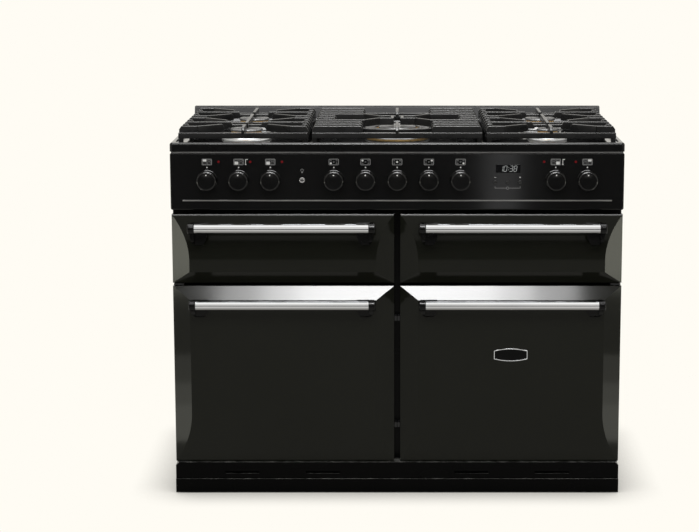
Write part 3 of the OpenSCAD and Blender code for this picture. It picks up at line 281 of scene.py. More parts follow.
# %% [markdown]
# A thin dark line runs along each polished handle in the photograph. It is the mirror image
# of a dark part of the studio in front of the cooker. A grey screen stands there. Only
# gloss sees it, so the camera looks through it and it casts no shadow on the floor.

# %% Stand the dark screen
SCREEN_Y = -2.26
SCREEN_HALF = 1.8
SCREEN_LOW, SCREEN_HIGH = 0.25, 0.98
SCREEN_GREY = (0.16, 0.16, 0.16, 1.0)

screen_mesh = bpy.data.meshes.new("dark_screen")
screen_mesh.from_pydata([(-SCREEN_HALF, SCREEN_Y, SCREEN_LOW),
                         (SCREEN_HALF, SCREEN_Y, SCREEN_LOW),
                         (SCREEN_HALF, SCREEN_Y, SCREEN_HIGH),
                         (-SCREEN_HALF, SCREEN_Y, SCREEN_HIGH)],
                        [], [(0, 1, 2, 3)])
screen = bpy.data.objects.new("dark_screen", screen_mesh)
screen.visible_camera = False
screen.visible_diffuse = False
screen.visible_shadow = False
bpy.context.scene.collection.objects.link(screen)
screen_material = bpy.data.materials.new("screen_grey")
screen_material.use_nodes = True
dull = screen_material.node_tree.nodes["Principled BSDF"]
dull.inputs["Base Color"].default_value = SCREEN_GREY
dull.inputs["Roughness"].default_value = 1.0
dull.inputs["Specular IOR Level"].default_value = 0.0
screen_mesh.materials.append(screen_material)
print("screen made")

# %% [markdown]
# ## Shared effects
# Real finishes are never even. Three effects return in every finish here: a slow drift of
# the colour, a drift of the roughness from wiping, and a fine grain that bends the surface.
# Three more are there for the finishes that need them: dust on ledges that also paints a
# highlight there, a painted shade on undersides, and flecks in the oven enamel. Each is a
# node group, built once, and puts out only what changes over the surface.

# %% Build the group helper
def new_group(name, inputs, outputs):
    """An empty node group with float or colour sockets."""
    group = bpy.data.node_groups.new(name, "ShaderNodeTree")
    for title, kind, value in inputs:
        socket = group.interface.new_socket(title, in_out="INPUT", socket_type=kind)
        socket.default_value = value
    for title, kind in outputs:
        group.interface.new_socket(title, in_out="OUTPUT", socket_type=kind)
    start = group.nodes.new("NodeGroupInput")
    end = group.nodes.new("NodeGroupOutput")
    return group, start, end


FLOAT = "NodeSocketFloat"
COLOUR = "NodeSocketColor"


def noise_in(group, start, detail, stretch=None):
    """A noise in a group, sized by the group's Scale input and, if asked, stretched."""
    coords = group.nodes.new("ShaderNodeTexCoord")
    noise = group.nodes.new("ShaderNodeTexNoise")
    noise.inputs["Detail"].default_value = detail
    source = coords.outputs["Object"]
    if stretch:
        mapping = group.nodes.new("ShaderNodeMapping")
        mapping.inputs["Scale"].default_value = stretch
        group.links.new(source, mapping.inputs["Vector"])
        source = mapping.outputs["Vector"]
    group.links.new(source, noise.inputs["Vector"])
    group.links.new(start.outputs["Scale"], noise.inputs["Scale"])
    return noise.outputs["Fac"]


print("group helper ready")

# %% Write the node helpers
def map_range(group, value, span, onto):
    """Map the numbers of span onto two bounds, each of which is a number or a socket."""
    node = group.nodes.new("ShaderNodeMapRange")
    group.links.new(value, node.inputs["Value"])
    node.inputs["From Min"].default_value, node.inputs["From Max"].default_value = span
    for title, bound in zip(("To Min", "To Max"), onto):
        if isinstance(bound, (int, float)):
            node.inputs[title].default_value = bound
        else:
            group.links.new(bound, node.inputs[title])
    return node.outputs["Result"]


def mix_colours(group, factor, first, second):
    """The first colour where the factor is 0, the second where it is 1."""
    node = group.nodes.new("ShaderNodeMix")
    node.data_type = "RGBA"
    group.links.new(factor, node.inputs["Factor"])
    group.links.new(first, node.inputs["A"])
    group.links.new(second, node.inputs["B"])
    return node.outputs["Result"]


def times(group, first, second):
    """The product of two values."""
    node = group.nodes.new("ShaderNodeMath")
    node.operation = "MULTIPLY"
    group.links.new(first, node.inputs[0])
    group.links.new(second, node.inputs[1])
    return node.outputs[0]


def height_of_normal(group):
    """How far a face looks up: 1 for a floor, 0 for a wall, -1 for a ceiling."""
    geometry = group.nodes.new("ShaderNodeNewGeometry")
    split = group.nodes.new("ShaderNodeSeparateXYZ")
    group.links.new(geometry.outputs["Normal"], split.inputs[0])
    return split.outputs["Z"]


print("node helpers ready")

# %% Build the colour drift
tone_group, tone_in, tone_out = new_group(
    "Tone drift",
    [("Colour", COLOUR, (0.5, 0.5, 0.5, 1.0)), ("Other", COLOUR, (0.4, 0.4, 0.4, 1.0)),
     ("Scale", FLOAT, 6.0)],
    [("Colour", COLOUR)])
TONE_DETAIL, TONE_SPAN = 3.0, (0.35, 0.65)
drift = map_range(tone_group, noise_in(tone_group, tone_in, TONE_DETAIL), TONE_SPAN, (0.0, 1.0))
tones = mix_colours(tone_group, drift, tone_in.outputs["Colour"], tone_in.outputs["Other"])
tone_group.links.new(tones, tone_out.inputs["Colour"])
print("group:", tone_group.name)

# %% Build the wipe marks
wipe_group, wipe_in, wipe_out = new_group(
    "Wipe marks",
    [("Smooth", FLOAT, 0.1), ("Rough", FLOAT, 0.2), ("Scale", FLOAT, 4.0)],
    [("Roughness", FLOAT)])
WIPE_DETAIL, WIPE_SPAN, WIPE_STRETCH = 4.0, (0.3, 0.7), (1.0, 1.0, 2.4)
marks = noise_in(wipe_group, wipe_in, WIPE_DETAIL, stretch=WIPE_STRETCH)
spread = map_range(wipe_group, marks, WIPE_SPAN,
                   (wipe_in.outputs["Smooth"], wipe_in.outputs["Rough"]))
wipe_group.links.new(spread, wipe_out.inputs["Roughness"])
print("group:", wipe_group.name)

# %% Build the grain
grain_group, grain_in, grain_out = new_group(
    "Grain", [("Scale", FLOAT, 300.0)], [("Height", FLOAT)])
GRAIN_DETAIL = 2.0
grain_group.links.new(noise_in(grain_group, grain_in, GRAIN_DETAIL), grain_out.inputs["Height"])
print("group:", grain_group.name)

# %% [markdown]
# Dust lies on ledges and not on walls, and its pale colour also paints the highlight along a
# ledge. The height of a face's normal tells the two apart, and a noise breaks the dust up into
# patches. A painted shade darkens the underside of a polished tube in the same way, from below.

# %% Build the dust and painted highlight on what faces up
dust_highlight_group, dust_highlight_in, dust_highlight_out = new_group(
    "Settled dust and highlight",
    [("Colour", COLOUR, (0.5, 0.5, 0.5, 1.0)), ("Dust", COLOUR, (0.3, 0.3, 0.28, 1.0)),
     ("Amount", FLOAT, 0.1), ("Scale", FLOAT, 40.0)],
    [("Colour", COLOUR)])
# Dust and a painted highlight: faces that look up turn paler.
LEDGE_FACING, PATCH_DETAIL = (0.5, 1.0), 5.0
PATCH_SPAN, PATCH_RANGE = (0.4, 0.7), (0.2, 1.0)
facing_up = map_range(dust_highlight_group, height_of_normal(dust_highlight_group), LEDGE_FACING, (0.0, 1.0))
patches = map_range(dust_highlight_group, noise_in(dust_highlight_group, dust_highlight_in, PATCH_DETAIL),
                    PATCH_SPAN, PATCH_RANGE)
weighted = times(dust_highlight_group, times(dust_highlight_group, facing_up, patches), dust_highlight_in.outputs["Amount"])
dusty_highlight = mix_colours(dust_highlight_group, weighted, dust_highlight_in.outputs["Colour"], dust_highlight_in.outputs["Dust"])
dust_highlight_group.links.new(dusty_highlight, dust_highlight_out.inputs["Colour"])
print("group:", dust_highlight_group.name)

# %% Build the painted shade on undersides
underside_shade_group, underside_shade_in, underside_shade_out = new_group(
    "Underside painted shade",
    [("Colour", COLOUR, (0.6, 0.6, 0.6, 1.0)), ("Film", COLOUR, (0.2, 0.2, 0.2, 1.0))],
    [("Colour", COLOUR)])
# Painted shade: the colour turns darker as a face turns downwards.
UNDERSIDE_FACING = (-0.5, 0.1)
facing_down = map_range(underside_shade_group, height_of_normal(underside_shade_group), UNDERSIDE_FACING, (1.0, 0.0))
shaded_under = mix_colours(underside_shade_group, facing_down, underside_shade_in.outputs["Colour"], underside_shade_in.outputs["Film"])
underside_shade_group.links.new(shaded_under, underside_shade_out.inputs["Colour"])
print("group:", underside_shade_group.name)

# %% [markdown]
# Oven enamel is black with fine pale flecks, which come from two kinds of glass fired
# together. The cells of a Voronoi texture place one round fleck each.

# %% Build the enamel flecks
fleck_group, fleck_in, fleck_out = new_group(
    "Enamel flecks",
    [("Colour", COLOUR, (0.05, 0.05, 0.05, 1.0)), ("Fleck", COLOUR, (0.4, 0.4, 0.42, 1.0)),
     ("Scale", FLOAT, 260.0)],
    [("Colour", COLOUR)])
FLECK_EDGE = (0.1, 0.22)
fleck_cells = fleck_group.nodes.new("ShaderNodeTexVoronoi")
fleck_coords = fleck_group.nodes.new("ShaderNodeTexCoord")
fleck_group.links.new(fleck_coords.outputs["Object"], fleck_cells.inputs["Vector"])
fleck_group.links.new(fleck_in.outputs["Scale"], fleck_cells.inputs["Scale"])
fleck_mask = map_range(fleck_group, fleck_cells.outputs["Distance"], FLECK_EDGE, (1.0, 0.0))
flecked = mix_colours(fleck_group, fleck_mask, fleck_in.outputs["Colour"],
                      fleck_in.outputs["Fleck"])
fleck_group.links.new(flecked, fleck_out.inputs["Colour"])
print("group:", fleck_group.name)

# %% [markdown]
# ## Finishes
# Every finish is one Principled material. The constants, such as the gloss level, sit on
# the shader itself, and the groups feed only what changes over the surface. One helper
# wires the groups, and each finish calls it with two colours that drift into each other,
# the scale of that drift, the least and the greatest roughness, and the scale of the wipes.
# The finishes without a name of their own in the code are looked up by name at the end.

# %% Write the finish helper
def place_group(material, group, **values):
    """Put a node group into a material and set its inputs."""
    node = material.node_tree.nodes.new("ShaderNodeGroup")
    node.node_tree = group
    for title, value in values.items():
        node.inputs[title].default_value = value
    return node


def rgb(red, green, blue):
    """A solid colour."""
    return (red, green, blue, 1.0)


DUST_HIGHLIGHT_COLOUR = rgb(0.3, 0.3, 0.28)


def lay_over(material, under, group, **values):
    """Lay a colour group over the colour that lies under it."""
    node = place_group(material, group, **values)
    material.node_tree.links.new(under, node.inputs["Colour"])
    return node.outputs["Colour"]


def finish(name, colour, other, tone, rough, wipe, grain=400.0, depth=0.02, metal=0.0,
           specular=0.5, dust_and_highlight=0.0, fleck=None, under_shade=None):
    """A Principled material with drift, wipes and grain; the depth of the grain is in mm."""
    material = bpy.data.materials.get(name) or bpy.data.materials.new(name)
    material.use_nodes = True
    nodes, links = material.node_tree.nodes, material.node_tree.links
    nodes.clear()
    shader = nodes.new("ShaderNodeBsdfPrincipled")
    shader.name = "Principled BSDF"
    surface = nodes.new("ShaderNodeOutputMaterial")
    links.new(shader.outputs["BSDF"], surface.inputs["Surface"])
    shader.inputs["Metallic"].default_value = metal
    shader.inputs["Specular IOR Level"].default_value = specular
    drifting = place_group(material, tone_group, Colour=colour, Other=other, Scale=tone)
    out = drifting.outputs["Colour"]
    if fleck:
        out = lay_over(material, out, fleck_group, Fleck=fleck)
    # Painted shade that darkens the undersides.
    if under_shade:
        out = lay_over(material, out, underside_shade_group, Film=under_shade)
    # Dust on ledges, whose pale colour also paints a highlight there.
    if dust_and_highlight:
        out = lay_over(material, out, dust_highlight_group, Dust=DUST_HIGHLIGHT_COLOUR, Amount=dust_and_highlight)
    links.new(out, shader.inputs["Base Color"])
    wiped = place_group(material, wipe_group, Smooth=rough[0], Rough=rough[1], Scale=wipe)
    links.new(wiped.outputs["Roughness"], shader.inputs["Roughness"])
    height = place_group(material, grain_group, Scale=grain)
    bump = nodes.new("ShaderNodeBump")
    bump.inputs["Strength"].default_value = 1.0
    bump.inputs["Distance"].default_value = depth * MM
    links.new(height.outputs["Height"], bump.inputs["Height"])
    links.new(bump.outputs["Normal"], shader.inputs["Normal"])
    return material


print("finish helper ready")

# %% [markdown]
# The door enamel is a dark pewter green. The real gloss comes from a thick vitreous
# glaze. The gloss level is low, because the pale room would otherwise wash out the dark
# colour, and the roughness is small, so that the soft boxes stay clear shapes in it. The
# panel, hob, frame and plinth are black, each with its own gloss.

# %% Mix the enamels
door_enamel = finish("door_enamel", rgb(0.0074, 0.0078, 0.0058), rgb(0.0066, 0.007, 0.005),
                     tone=3.0, rough=(0.08, 0.12), wipe=3.0, grain=260.0, depth=0.003,
                     specular=0.096)
panel_enamel = finish("panel_enamel", rgb(0.004, 0.004, 0.004), rgb(0.0052, 0.0052, 0.0052),
                      tone=2.5, rough=(0.1, 0.16), wipe=3.0, grain=260.0, depth=0.003,
                      specular=0.14)
hob_enamel = finish("hob_enamel", rgb(0.004, 0.004, 0.0041), rgb(0.005, 0.005, 0.0051),
                    tone=5.0, rough=(0.03, 0.07), wipe=5.0, grain=260.0, depth=0.001,
                    specular=0.15)
black_enamel = finish("black_enamel", rgb(0.0022, 0.0022, 0.0022), rgb(0.0032, 0.0032, 0.0032),
                      tone=3.0, rough=(0.2, 0.3), wipe=4.0, grain=500.0, depth=0.006,
                      specular=0.05)
rear_enamel = finish("rear_enamel", rgb(0.004, 0.004, 0.0041), rgb(0.006, 0.006, 0.0061),
                     tone=5.0, rough=(0.5, 0.6), wipe=5.0, grain=260.0, depth=0.004,
                     specular=0.12)
# The dust on the plinth is pale enough to paint the highlight along its top ledge.
plinth_enamel = finish("plinth_enamel", rgb(0.001, 0.001, 0.001), rgb(0.0014, 0.0014, 0.0014),
                       tone=3.0, rough=(0.2, 0.3), wipe=4.0, grain=500.0, depth=0.006,
                       specular=0.03, dust_and_highlight=0.6)
finish("oven_enamel", rgb(0.008, 0.008, 0.01), rgb(0.011, 0.011, 0.013),
       tone=6.0, rough=(0.18, 0.3), wipe=6.0, grain=300.0, depth=0.01,
       specular=0.15, fleck=rgb(0.1, 0.1, 0.115))
print("enamels mixed")

# %% [markdown]
# Cast iron comes out of a sand mould, so it keeps a coarse skin under its matt black
# coating. The burner caps are smooth pressings in grey enamel, and the knobs and brackets
# are moulded in black plastic.

# %% Mix the iron and the plastics
cast_iron = finish("cast_iron", rgb(0.007, 0.007, 0.007), rgb(0.012, 0.012, 0.012),
                   tone=18.0, rough=(0.24, 0.34), wipe=20.0, grain=700.0, depth=0.012,
                   specular=0.22)
cap_enamel = finish("cap_enamel", rgb(0.09, 0.09, 0.09), rgb(0.075, 0.075, 0.075),
                    tone=30.0, rough=(0.3, 0.4), wipe=30.0, grain=800.0, depth=0.01, specular=0.5)
knob_black = finish("knob_black", rgb(0.003, 0.003, 0.003), rgb(0.0045, 0.0045, 0.0045),
                    tone=20.0, rough=(0.07, 0.13), wipe=25.0, grain=600.0, depth=0.002,
                    specular=0.25)
bracket_black = finish("bracket_black", rgb(0.002, 0.002, 0.002), rgb(0.003, 0.003, 0.003),
                       tone=20.0, rough=(0.1, 0.2), wipe=25.0, grain=600.0, depth=0.003,
                       specular=0.1)
key_black = finish("key_black", rgb(0.006, 0.006, 0.006), rgb(0.01, 0.01, 0.01),
                   tone=40.0, rough=(0.3, 0.4), wipe=40.0, grain=900.0, depth=0.01, specular=0.3)
finish("foot_plastic", rgb(0.02, 0.02, 0.02), rgb(0.03, 0.03, 0.03),
       tone=30.0, rough=(0.45, 0.6), wipe=30.0, grain=900.0, depth=0.02)
print("iron and plastics mixed")

# %% [markdown]
# Metals have a Metallic of 1 and show their colour in the gloss. The handles are polished
# and nearly mirrors, with a painted shade that darkens their undersides. Burner cups, taps,
# galvanised sheet and motor cases are rougher. The flame rings are tarnished, so they are
# only partly metallic, and the hinges are steel under black paint, so they aren't metallic at
# all.

# %% Mix the metals
# The last colour paints shade on the undersides of the tubes.
handle_chrome = finish("handle_chrome", rgb(0.67, 0.685, 0.715), rgb(0.63, 0.645, 0.675),
                       tone=8.0, rough=(0.02, 0.035), wipe=12.0, grain=600.0, depth=0.0002,
                       metal=1.0, under_shade=rgb(0.2, 0.2, 0.2))
button_chrome = finish("button_chrome", rgb(0.4, 0.4, 0.41), rgb(0.34, 0.34, 0.35),
                       tone=30.0, rough=(0.1, 0.18), wipe=40.0, grain=800.0, depth=0.002,
                       metal=1.0)
trim_silver = finish("trim_silver", rgb(0.3, 0.3, 0.3), rgb(0.25, 0.25, 0.25),
                     tone=4.0, rough=(0.3, 0.42), wipe=8.0, grain=900.0, depth=0.004, metal=1.0)
burner_aluminium = finish("burner_aluminium", rgb(0.66, 0.67, 0.69), rgb(0.52, 0.53, 0.55),
                          tone=30.0, rough=(0.25, 0.42), wipe=40.0, grain=900.0, depth=0.02,
                          metal=1.0)
burner_brass = finish("burner_brass", rgb(0.9, 0.6, 0.23), rgb(0.78, 0.5, 0.18),
                      tone=40.0, rough=(0.25, 0.4), wipe=50.0, grain=900.0, depth=0.01, metal=0.4)
finish("tap_brass", rgb(0.6, 0.48, 0.26), rgb(0.5, 0.4, 0.22),
       tone=30.0, rough=(0.35, 0.5), wipe=30.0, grain=800.0, depth=0.03, metal=1.0)
finish("galvanised_steel", rgb(0.5, 0.51, 0.52), rgb(0.4, 0.41, 0.43),
       tone=14.0, rough=(0.34, 0.5), wipe=12.0, grain=200.0, depth=0.01,
       metal=1.0)
finish("hinge_steel", rgb(0.012, 0.012, 0.013), rgb(0.009, 0.009, 0.01),
       tone=20.0, rough=(0.3, 0.42), wipe=30.0, grain=600.0, depth=0.01,
       specular=0.3)
finish("motor_steel", rgb(0.45, 0.45, 0.46), rgb(0.36, 0.36, 0.37),
       tone=20.0, rough=(0.35, 0.5), wipe=20.0, grain=600.0, depth=0.02, metal=1.0)
finish("fan_metal", rgb(0.66, 0.66, 0.68), rgb(0.56, 0.56, 0.58),
       tone=20.0, rough=(0.25, 0.4), wipe=20.0, grain=600.0, depth=0.01, metal=1.0)
finish("shelf_wire", rgb(0.72, 0.72, 0.74), rgb(0.62, 0.62, 0.64),
       tone=30.0, rough=(0.1, 0.2), wipe=30.0, grain=800.0, depth=0.004, metal=1.0)
element_steel = finish("element_steel", rgb(0.2, 0.17, 0.15), rgb(0.13, 0.12, 0.13),
                       tone=25.0, rough=(0.35, 0.5), wipe=25.0, grain=700.0, depth=0.02,
                       metal=1.0)
print("metals mixed")

# %% [markdown]
# A few small finishes are left: the woven rope round an oven, the white ceramic of the
# electrodes, dark glass over the clock, the two inks of the panel print, a pale grey that
# paints the highlight along the top of the panel, and a dull black that paints the shade
# behind the slots of the base rail.

# %% Mix the last small finishes
finish("seal_rope", rgb(0.2, 0.2, 0.19), rgb(0.12, 0.12, 0.11),
       tone=400.0, rough=(0.7, 0.85), wipe=100.0, grain=500.0, depth=0.6)
electrode_ceramic = finish("electrode_ceramic", rgb(0.85, 0.83, 0.78), rgb(0.74, 0.71, 0.65),
                           tone=60.0, rough=(0.2, 0.35), wipe=60.0, grain=900.0, depth=0.005)
clock_glass = finish("clock_glass", rgb(0.002, 0.002, 0.0025), rgb(0.003, 0.003, 0.0035),
                     tone=10.0, rough=(0.03, 0.06), wipe=15.0, grain=900.0, depth=0.0005,
                     specular=0.3)
print_white = finish("print_white", rgb(0.56, 0.56, 0.55), rgb(0.5, 0.5, 0.49),
                     tone=60.0, rough=(0.45, 0.55), wipe=60.0, grain=900.0, depth=0.002)
print_grey = finish("print_grey", rgb(0.17, 0.17, 0.17), rgb(0.14, 0.14, 0.14),
                    tone=60.0, rough=(0.45, 0.55), wipe=60.0, grain=900.0, depth=0.002)
# A pale grey that paints the highlight along the top edge of the panel.
highlight_grey = finish("highlight_grey", rgb(0.16, 0.16, 0.16), rgb(0.13, 0.13, 0.13),
                   tone=60.0, rough=(0.5, 0.6), wipe=60.0, grain=900.0, depth=0.004)
# A dull black that paints the shade behind the slots of the base rail.
slot_shade_black = finish("slot_shade_black", rgb(0.001, 0.001, 0.001), rgb(0.0015, 0.0015, 0.0015),
                    tone=30.0, rough=(0.7, 0.85), wipe=30.0, grain=600.0, depth=0.02,
                    specular=0.0)
print("finishes:", len(bpy.data.materials))

# %% [markdown]
# The lamps glow through red lenses and the clock digits through dark glass. Both keep their
# own colour and add a little emission, as a lamp behind a lens does.

# %% Mix the lit finishes
def lit_finish(name, colour, other, glow_colour, strength):
    """A finish that also glows."""
    material = finish(name, colour, other, tone=200.0, rough=(0.12, 0.2), wipe=80.0,
                      grain=900.0, depth=0.002, specular=0.12)
    shader = material.node_tree.nodes["Principled BSDF"]
    shader.inputs["Emission Color"].default_value = glow_colour
    shader.inputs["Emission Strength"].default_value = strength
    return material


lamp_red = lit_finish("lamp_red", rgb(0.1, 0.001, 0.003), rgb(0.08, 0.001, 0.002),
                      rgb(0.6, 0.005, 0.015), 0.06)
digit_light = lit_finish("digit_light", rgb(0.26, 0.27, 0.27), rgb(0.22, 0.23, 0.23),
                         rgb(0.7, 0.75, 0.73), 0.12)
print("lit finishes made")

# %% [markdown]
# ## Building pieces
# A piece is a list of points and faces. The class below gathers them, mostly as a skin over
# a row of rings. The helper merges points that coincide, points the faces outwards, and
# adds a bevel if asked, because no real edge is sharp. It then hangs the piece on the empty
# of the body that it rides on, and hides the imported solids that it stands in for. Weighted
# normals keep the large faces flat while the bevels shade smoothly.

# %% Write the form class
class Form:
    """Points and faces gathered for one piece."""

    def __init__(self):
        self.points = []
        self.faces = []

    def add(self, points, faces):
        """Add points, and faces that count from the first of them."""
        base = len(self.points)
        self.points.extend(tuple(p) for p in points)
        self.faces.extend(tuple(base + i for i in face) for face in faces)

    def loft(self, rings, cap_start=True, cap_end=True, closed=False):
        """Skin over rings of equal length. A closed loft joins its last ring to its first."""
        count = len(rings[0])
        points = [p for ring in rings for p in ring]
        faces = []
        spans = len(rings) if closed else len(rings) - 1
        for r in range(spans):
            here, there = r * count, ((r + 1) % len(rings)) * count
            for i in range(count):
                j = (i + 1) % count
                faces.append((here + i, here + j, there + j, there + i))
        if cap_start and not closed:
            faces.append(tuple(reversed(range(count))))
        if cap_end and not closed:
            last = (len(rings) - 1) * count
            faces.append(tuple(range(last, last + count)))
        self.add(points, faces)

    def block(self, low, high):
        """A box between two corners."""
        ring = [(low[0], low[1]), (high[0], low[1]), (high[0], high[1]), (low[0], high[1])]
        self.loft([[(x, y, z) for x, y in ring] for z in (low[2], high[2])])


print("form class ready")

# %% Write the piece helper
MERGE_WITHIN = 1e-6
FLAT_WEIGHT = 60


def new_piece(name, form, body, material, bevel=0.0, segments=3, angle=30.0, replaces=(),
              smooth=True):
    """Make the object for a form; edges sharper than the angle stay crisp or get the bevel."""
    mesh = bpy.data.meshes.new(name)
    mesh.from_pydata(form.points, [], form.faces)
    work = bmesh.new()
    work.from_mesh(mesh)
    bmesh.ops.remove_doubles(work, verts=work.verts, dist=MERGE_WITHIN)
    bmesh.ops.recalc_face_normals(work, faces=work.faces)
    for edge in work.edges:
        if len(edge.link_faces) == 2:
            edge.smooth = edge.calc_face_angle(0.0) < math.radians(angle)
    work.to_mesh(mesh)
    work.free()
    for polygon in mesh.polygons:
        polygon.use_smooth = smooth
    piece = bpy.data.objects.new(name, mesh)
    bpy.context.scene.collection.objects.link(piece)
    mesh.materials.append(material)
    if bevel:
        add_bevel(piece, bevel, segments, angle)
    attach(piece, body)
    if replaces:
        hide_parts(*replaces)
    return piece


def add_bevel(piece, width, segments=2, angle=30.0):
    """Round the edges of a piece that are sharper than the angle."""
    bevel = piece.modifiers.new("Edges", "BEVEL")
    bevel.width = width
    bevel.segments = segments
    bevel.limit_method = "ANGLE"
    bevel.angle_limit = math.radians(angle)
    bevel.use_clamp_overlap = True
    bevel.harden_normals = False
    keep_faces_flat(piece, sharp=False)


def keep_faces_flat(piece, sharp=True):
    """Weighted normals let the large faces stay flat beside small round ones."""
    normals = piece.modifiers.new("Flat faces", "WEIGHTED_NORMAL")
    normals.keep_sharp = sharp
    normals.weight = FLAT_WEIGHT


def centre_of(low, high):
    """The middle of a box, seen from the front."""
    return (low.x + high.x) / 2, (low.z + high.z) / 2


print("helpers ready")

# %% [markdown]
# Turned pieces, such as knobs, caps and burner cups, come from one profile swept round an
# axis. The profile is a list of radius and height pairs, and each pair gives one ring of
# points. The ring helpers lay such a ring flat, or stand it up to face the front. Another
# helper gives the steps of a rounded edge, for turned and pressed pieces alike.

# %% Write the turning helpers
def circle(radius, count):
    """Points on a circle at equal angles."""
    return [(radius * math.cos(2 * math.pi * i / count),
             radius * math.sin(2 * math.pi * i / count)) for i in range(count)]


def upright(centre, height, radius, count):
    """A ring round a vertical axis."""
    return [(centre[0] + x, centre[1] + y, height) for x, y in circle(radius, count)]


def facing_front(centre, depth, radius, count):
    """A ring round an axis that points at the viewer."""
    return [(centre[0] + x, depth, centre[1] + z) for x, z in circle(radius, count)]


def rounded_edge(radius, steps=6, first=0):
    """How far each step of a rounded edge lies in and down, from its side to its top."""
    turns = [math.radians(90 * i / steps) for i in range(first, steps + 1)]
    return [(radius * (1 - math.cos(a)), radius * (1 - math.sin(a))) for a in turns]


def turned(form, centre, profile, count=64, ring=upright, closed=False):
    """A profile of radius and height pairs, turned round an axis."""
    form.loft([ring(centre, height, radius, count) for radius, height in profile],
              closed=closed)


print("turning ready")

# %% [markdown]
# ## Pressed doors
# The doors are the feature that takes the most skill. Each is one pressed sheet: a flat
# face, a bevel down each side, a bevel along one end, and a large roll that carries the
# face back at the other end. Where the roll meets the side bevel, the edge between them
# runs in a curve. The mesh is set out in rows up the door, and in each row the width of
# the side bevel follows from how far the face has rolled back. A narrow hem closes the
# rolled end, and it catches a line of light.

# %% Set out a door skin
RELIEF = 22 * MM
SIDE_BEVEL = 43 * MM
RETURN = 14 * MM
HEM, HEM_BACK = 3.6 * MM, 2.2 * MM
ROLL_STEPS = 20
LEAST_BEVEL = 0.1 * MM
DOOR_EDGE, DOOR_ANGLE = 1.2 * MM, 14.0


def roll_depth(roll, rise):
    """How far the roll lies behind the flat face at a height above the rolled end."""
    radius = (roll * roll + RELIEF * RELIEF) / (2 * RELIEF)
    return radius - math.sqrt(radius ** 2 - (roll - rise) ** 2)


def door_rows(height, roll, bevel):
    """Height above the rolled end and depth of the face, row by row."""
    rows = [(0.0, roll_depth(roll, HEM) + HEM_BACK)]
    for i in range(ROLL_STEPS + 1):
        rise = HEM + (roll - HEM) * i / ROLL_STEPS
        rows.append((rise, roll_depth(roll, rise)))
    rows.append((height - bevel, 0.0))
    rows.append((height, RELIEF))
    return rows


def door_skin(name, side, low_z, high_z, roll, bevel, rolled_end_up, body, node):
    """The pressed front of a door, from its rolled end to its bevelled end."""
    form = Form()
    middle = side * door_x
    half = door_w / 2
    back = door_face + RELIEF + RETURN
    rings = []
    for rise, depth in door_rows(high_z - low_z, roll, bevel):
        z = high_z - rise if rolled_end_up else low_z + rise
        edge = max(LEAST_BEVEL, SIDE_BEVEL * (1 - depth / RELIEF))
        rim = door_face + max(RELIEF, depth)
        rings.append([(middle - half, back, z), (middle - half, rim, z),
                      (middle - half + edge, door_face + depth, z),
                      (middle + half - edge, door_face + depth, z),
                      (middle + half, rim, z), (middle + half, back, z)])
    form.loft(rings)
    return new_piece(name, form, body, door_enamel, bevel=DOOR_EDGE, angle=DOOR_ANGLE,
                     replaces=(node,))


print("door skins are", round(RELIEF + RETURN, 4), "deep")

# %% Press the four fronts
LOWER_ROLL, LOWER_BEVEL = 128 * MM, 31 * MM
UPPER_ROLL, UPPER_BEVEL = 110 * MM, 30 * MM
skins = []
for side, word in ((-1, "left"), (1, "right")):
    skins.append(door_skin(word + "_oven_door_front", side, door_low.z, door_high.z,
                           LOWER_ROLL, LOWER_BEVEL, False, word + "_oven_door",
                           word + "_door_skin"))
for side, word in ((-1, "grill"), (1, "drawer")):
    skins.append(door_skin(word + "_front", side, front_low.z, front_high.z,
                           UPPER_ROLL, UPPER_BEVEL, True, word, word + "_skin"))
print("door fronts:", [s.name for s in skins])

# %% [markdown]
# ## Handles
# Each handle is a polished tube between two black brackets. A bracket has a round end cap
# on the tube and an arm that swings down and back to the door. Under the tube the arm
# widens into a foot with a round lower end. Both are set out level by level: the front
# follows a quarter round, and the back follows the face of the door.

# %% Turn a handle bar
BAR_EDGE = 0.5 * MM
bar_low, bar_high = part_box("right_handle_bar")
BAR_R = (bar_high.z - bar_low.z) / 2
BAR_Y = (bar_low.y + bar_high.y) / 2


def across(centre, x, radius, count):
    """A ring round an axis that runs from left to right."""
    return [(x, centre[0] + y, centre[1] + z) for y, z in circle(radius, count)]


def handle_bar(name, node, body):
    """A polished tube between the ends that the frame gives."""
    low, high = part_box(node)
    centre = ((low.y + high.y) / 2, (low.z + high.z) / 2)
    form = Form()
    turned(form, centre, [(BAR_R - BAR_EDGE, low.x), (BAR_R, low.x + BAR_EDGE),
                          (BAR_R, high.x - BAR_EDGE), (BAR_R - BAR_EDGE, high.x)], 96, across)
    return new_piece(name, form, body, handle_chrome, replaces=(node,))


print("handle tube radius", round(BAR_R, 4))

# %% Set out the brackets
CAP_PROUD = 0.8 * MM
CAP_LEN = 16.5 * MM
CAP_CHAMFER, CAP_ROUND, CAP_DOME, CAP_FLAT = 1.2 * MM, 3 * MM, 0.4 * MM, 5 * MM
FOOT_INWARD, FOOT_HALF = 25 * MM, 20.5 * MM
FOOT_LEAST = 0.15
ARM_IN, ARM_END, ARM_OUT = 1.5 * MM, 2.5 * MM, 2 * MM
ARM_OVER, ARM_AXIS = 2 * MM, 6 * MM
FOOT_BEHIND_BAR = 1 * MM
FOOT_SINK = 0.3 * MM


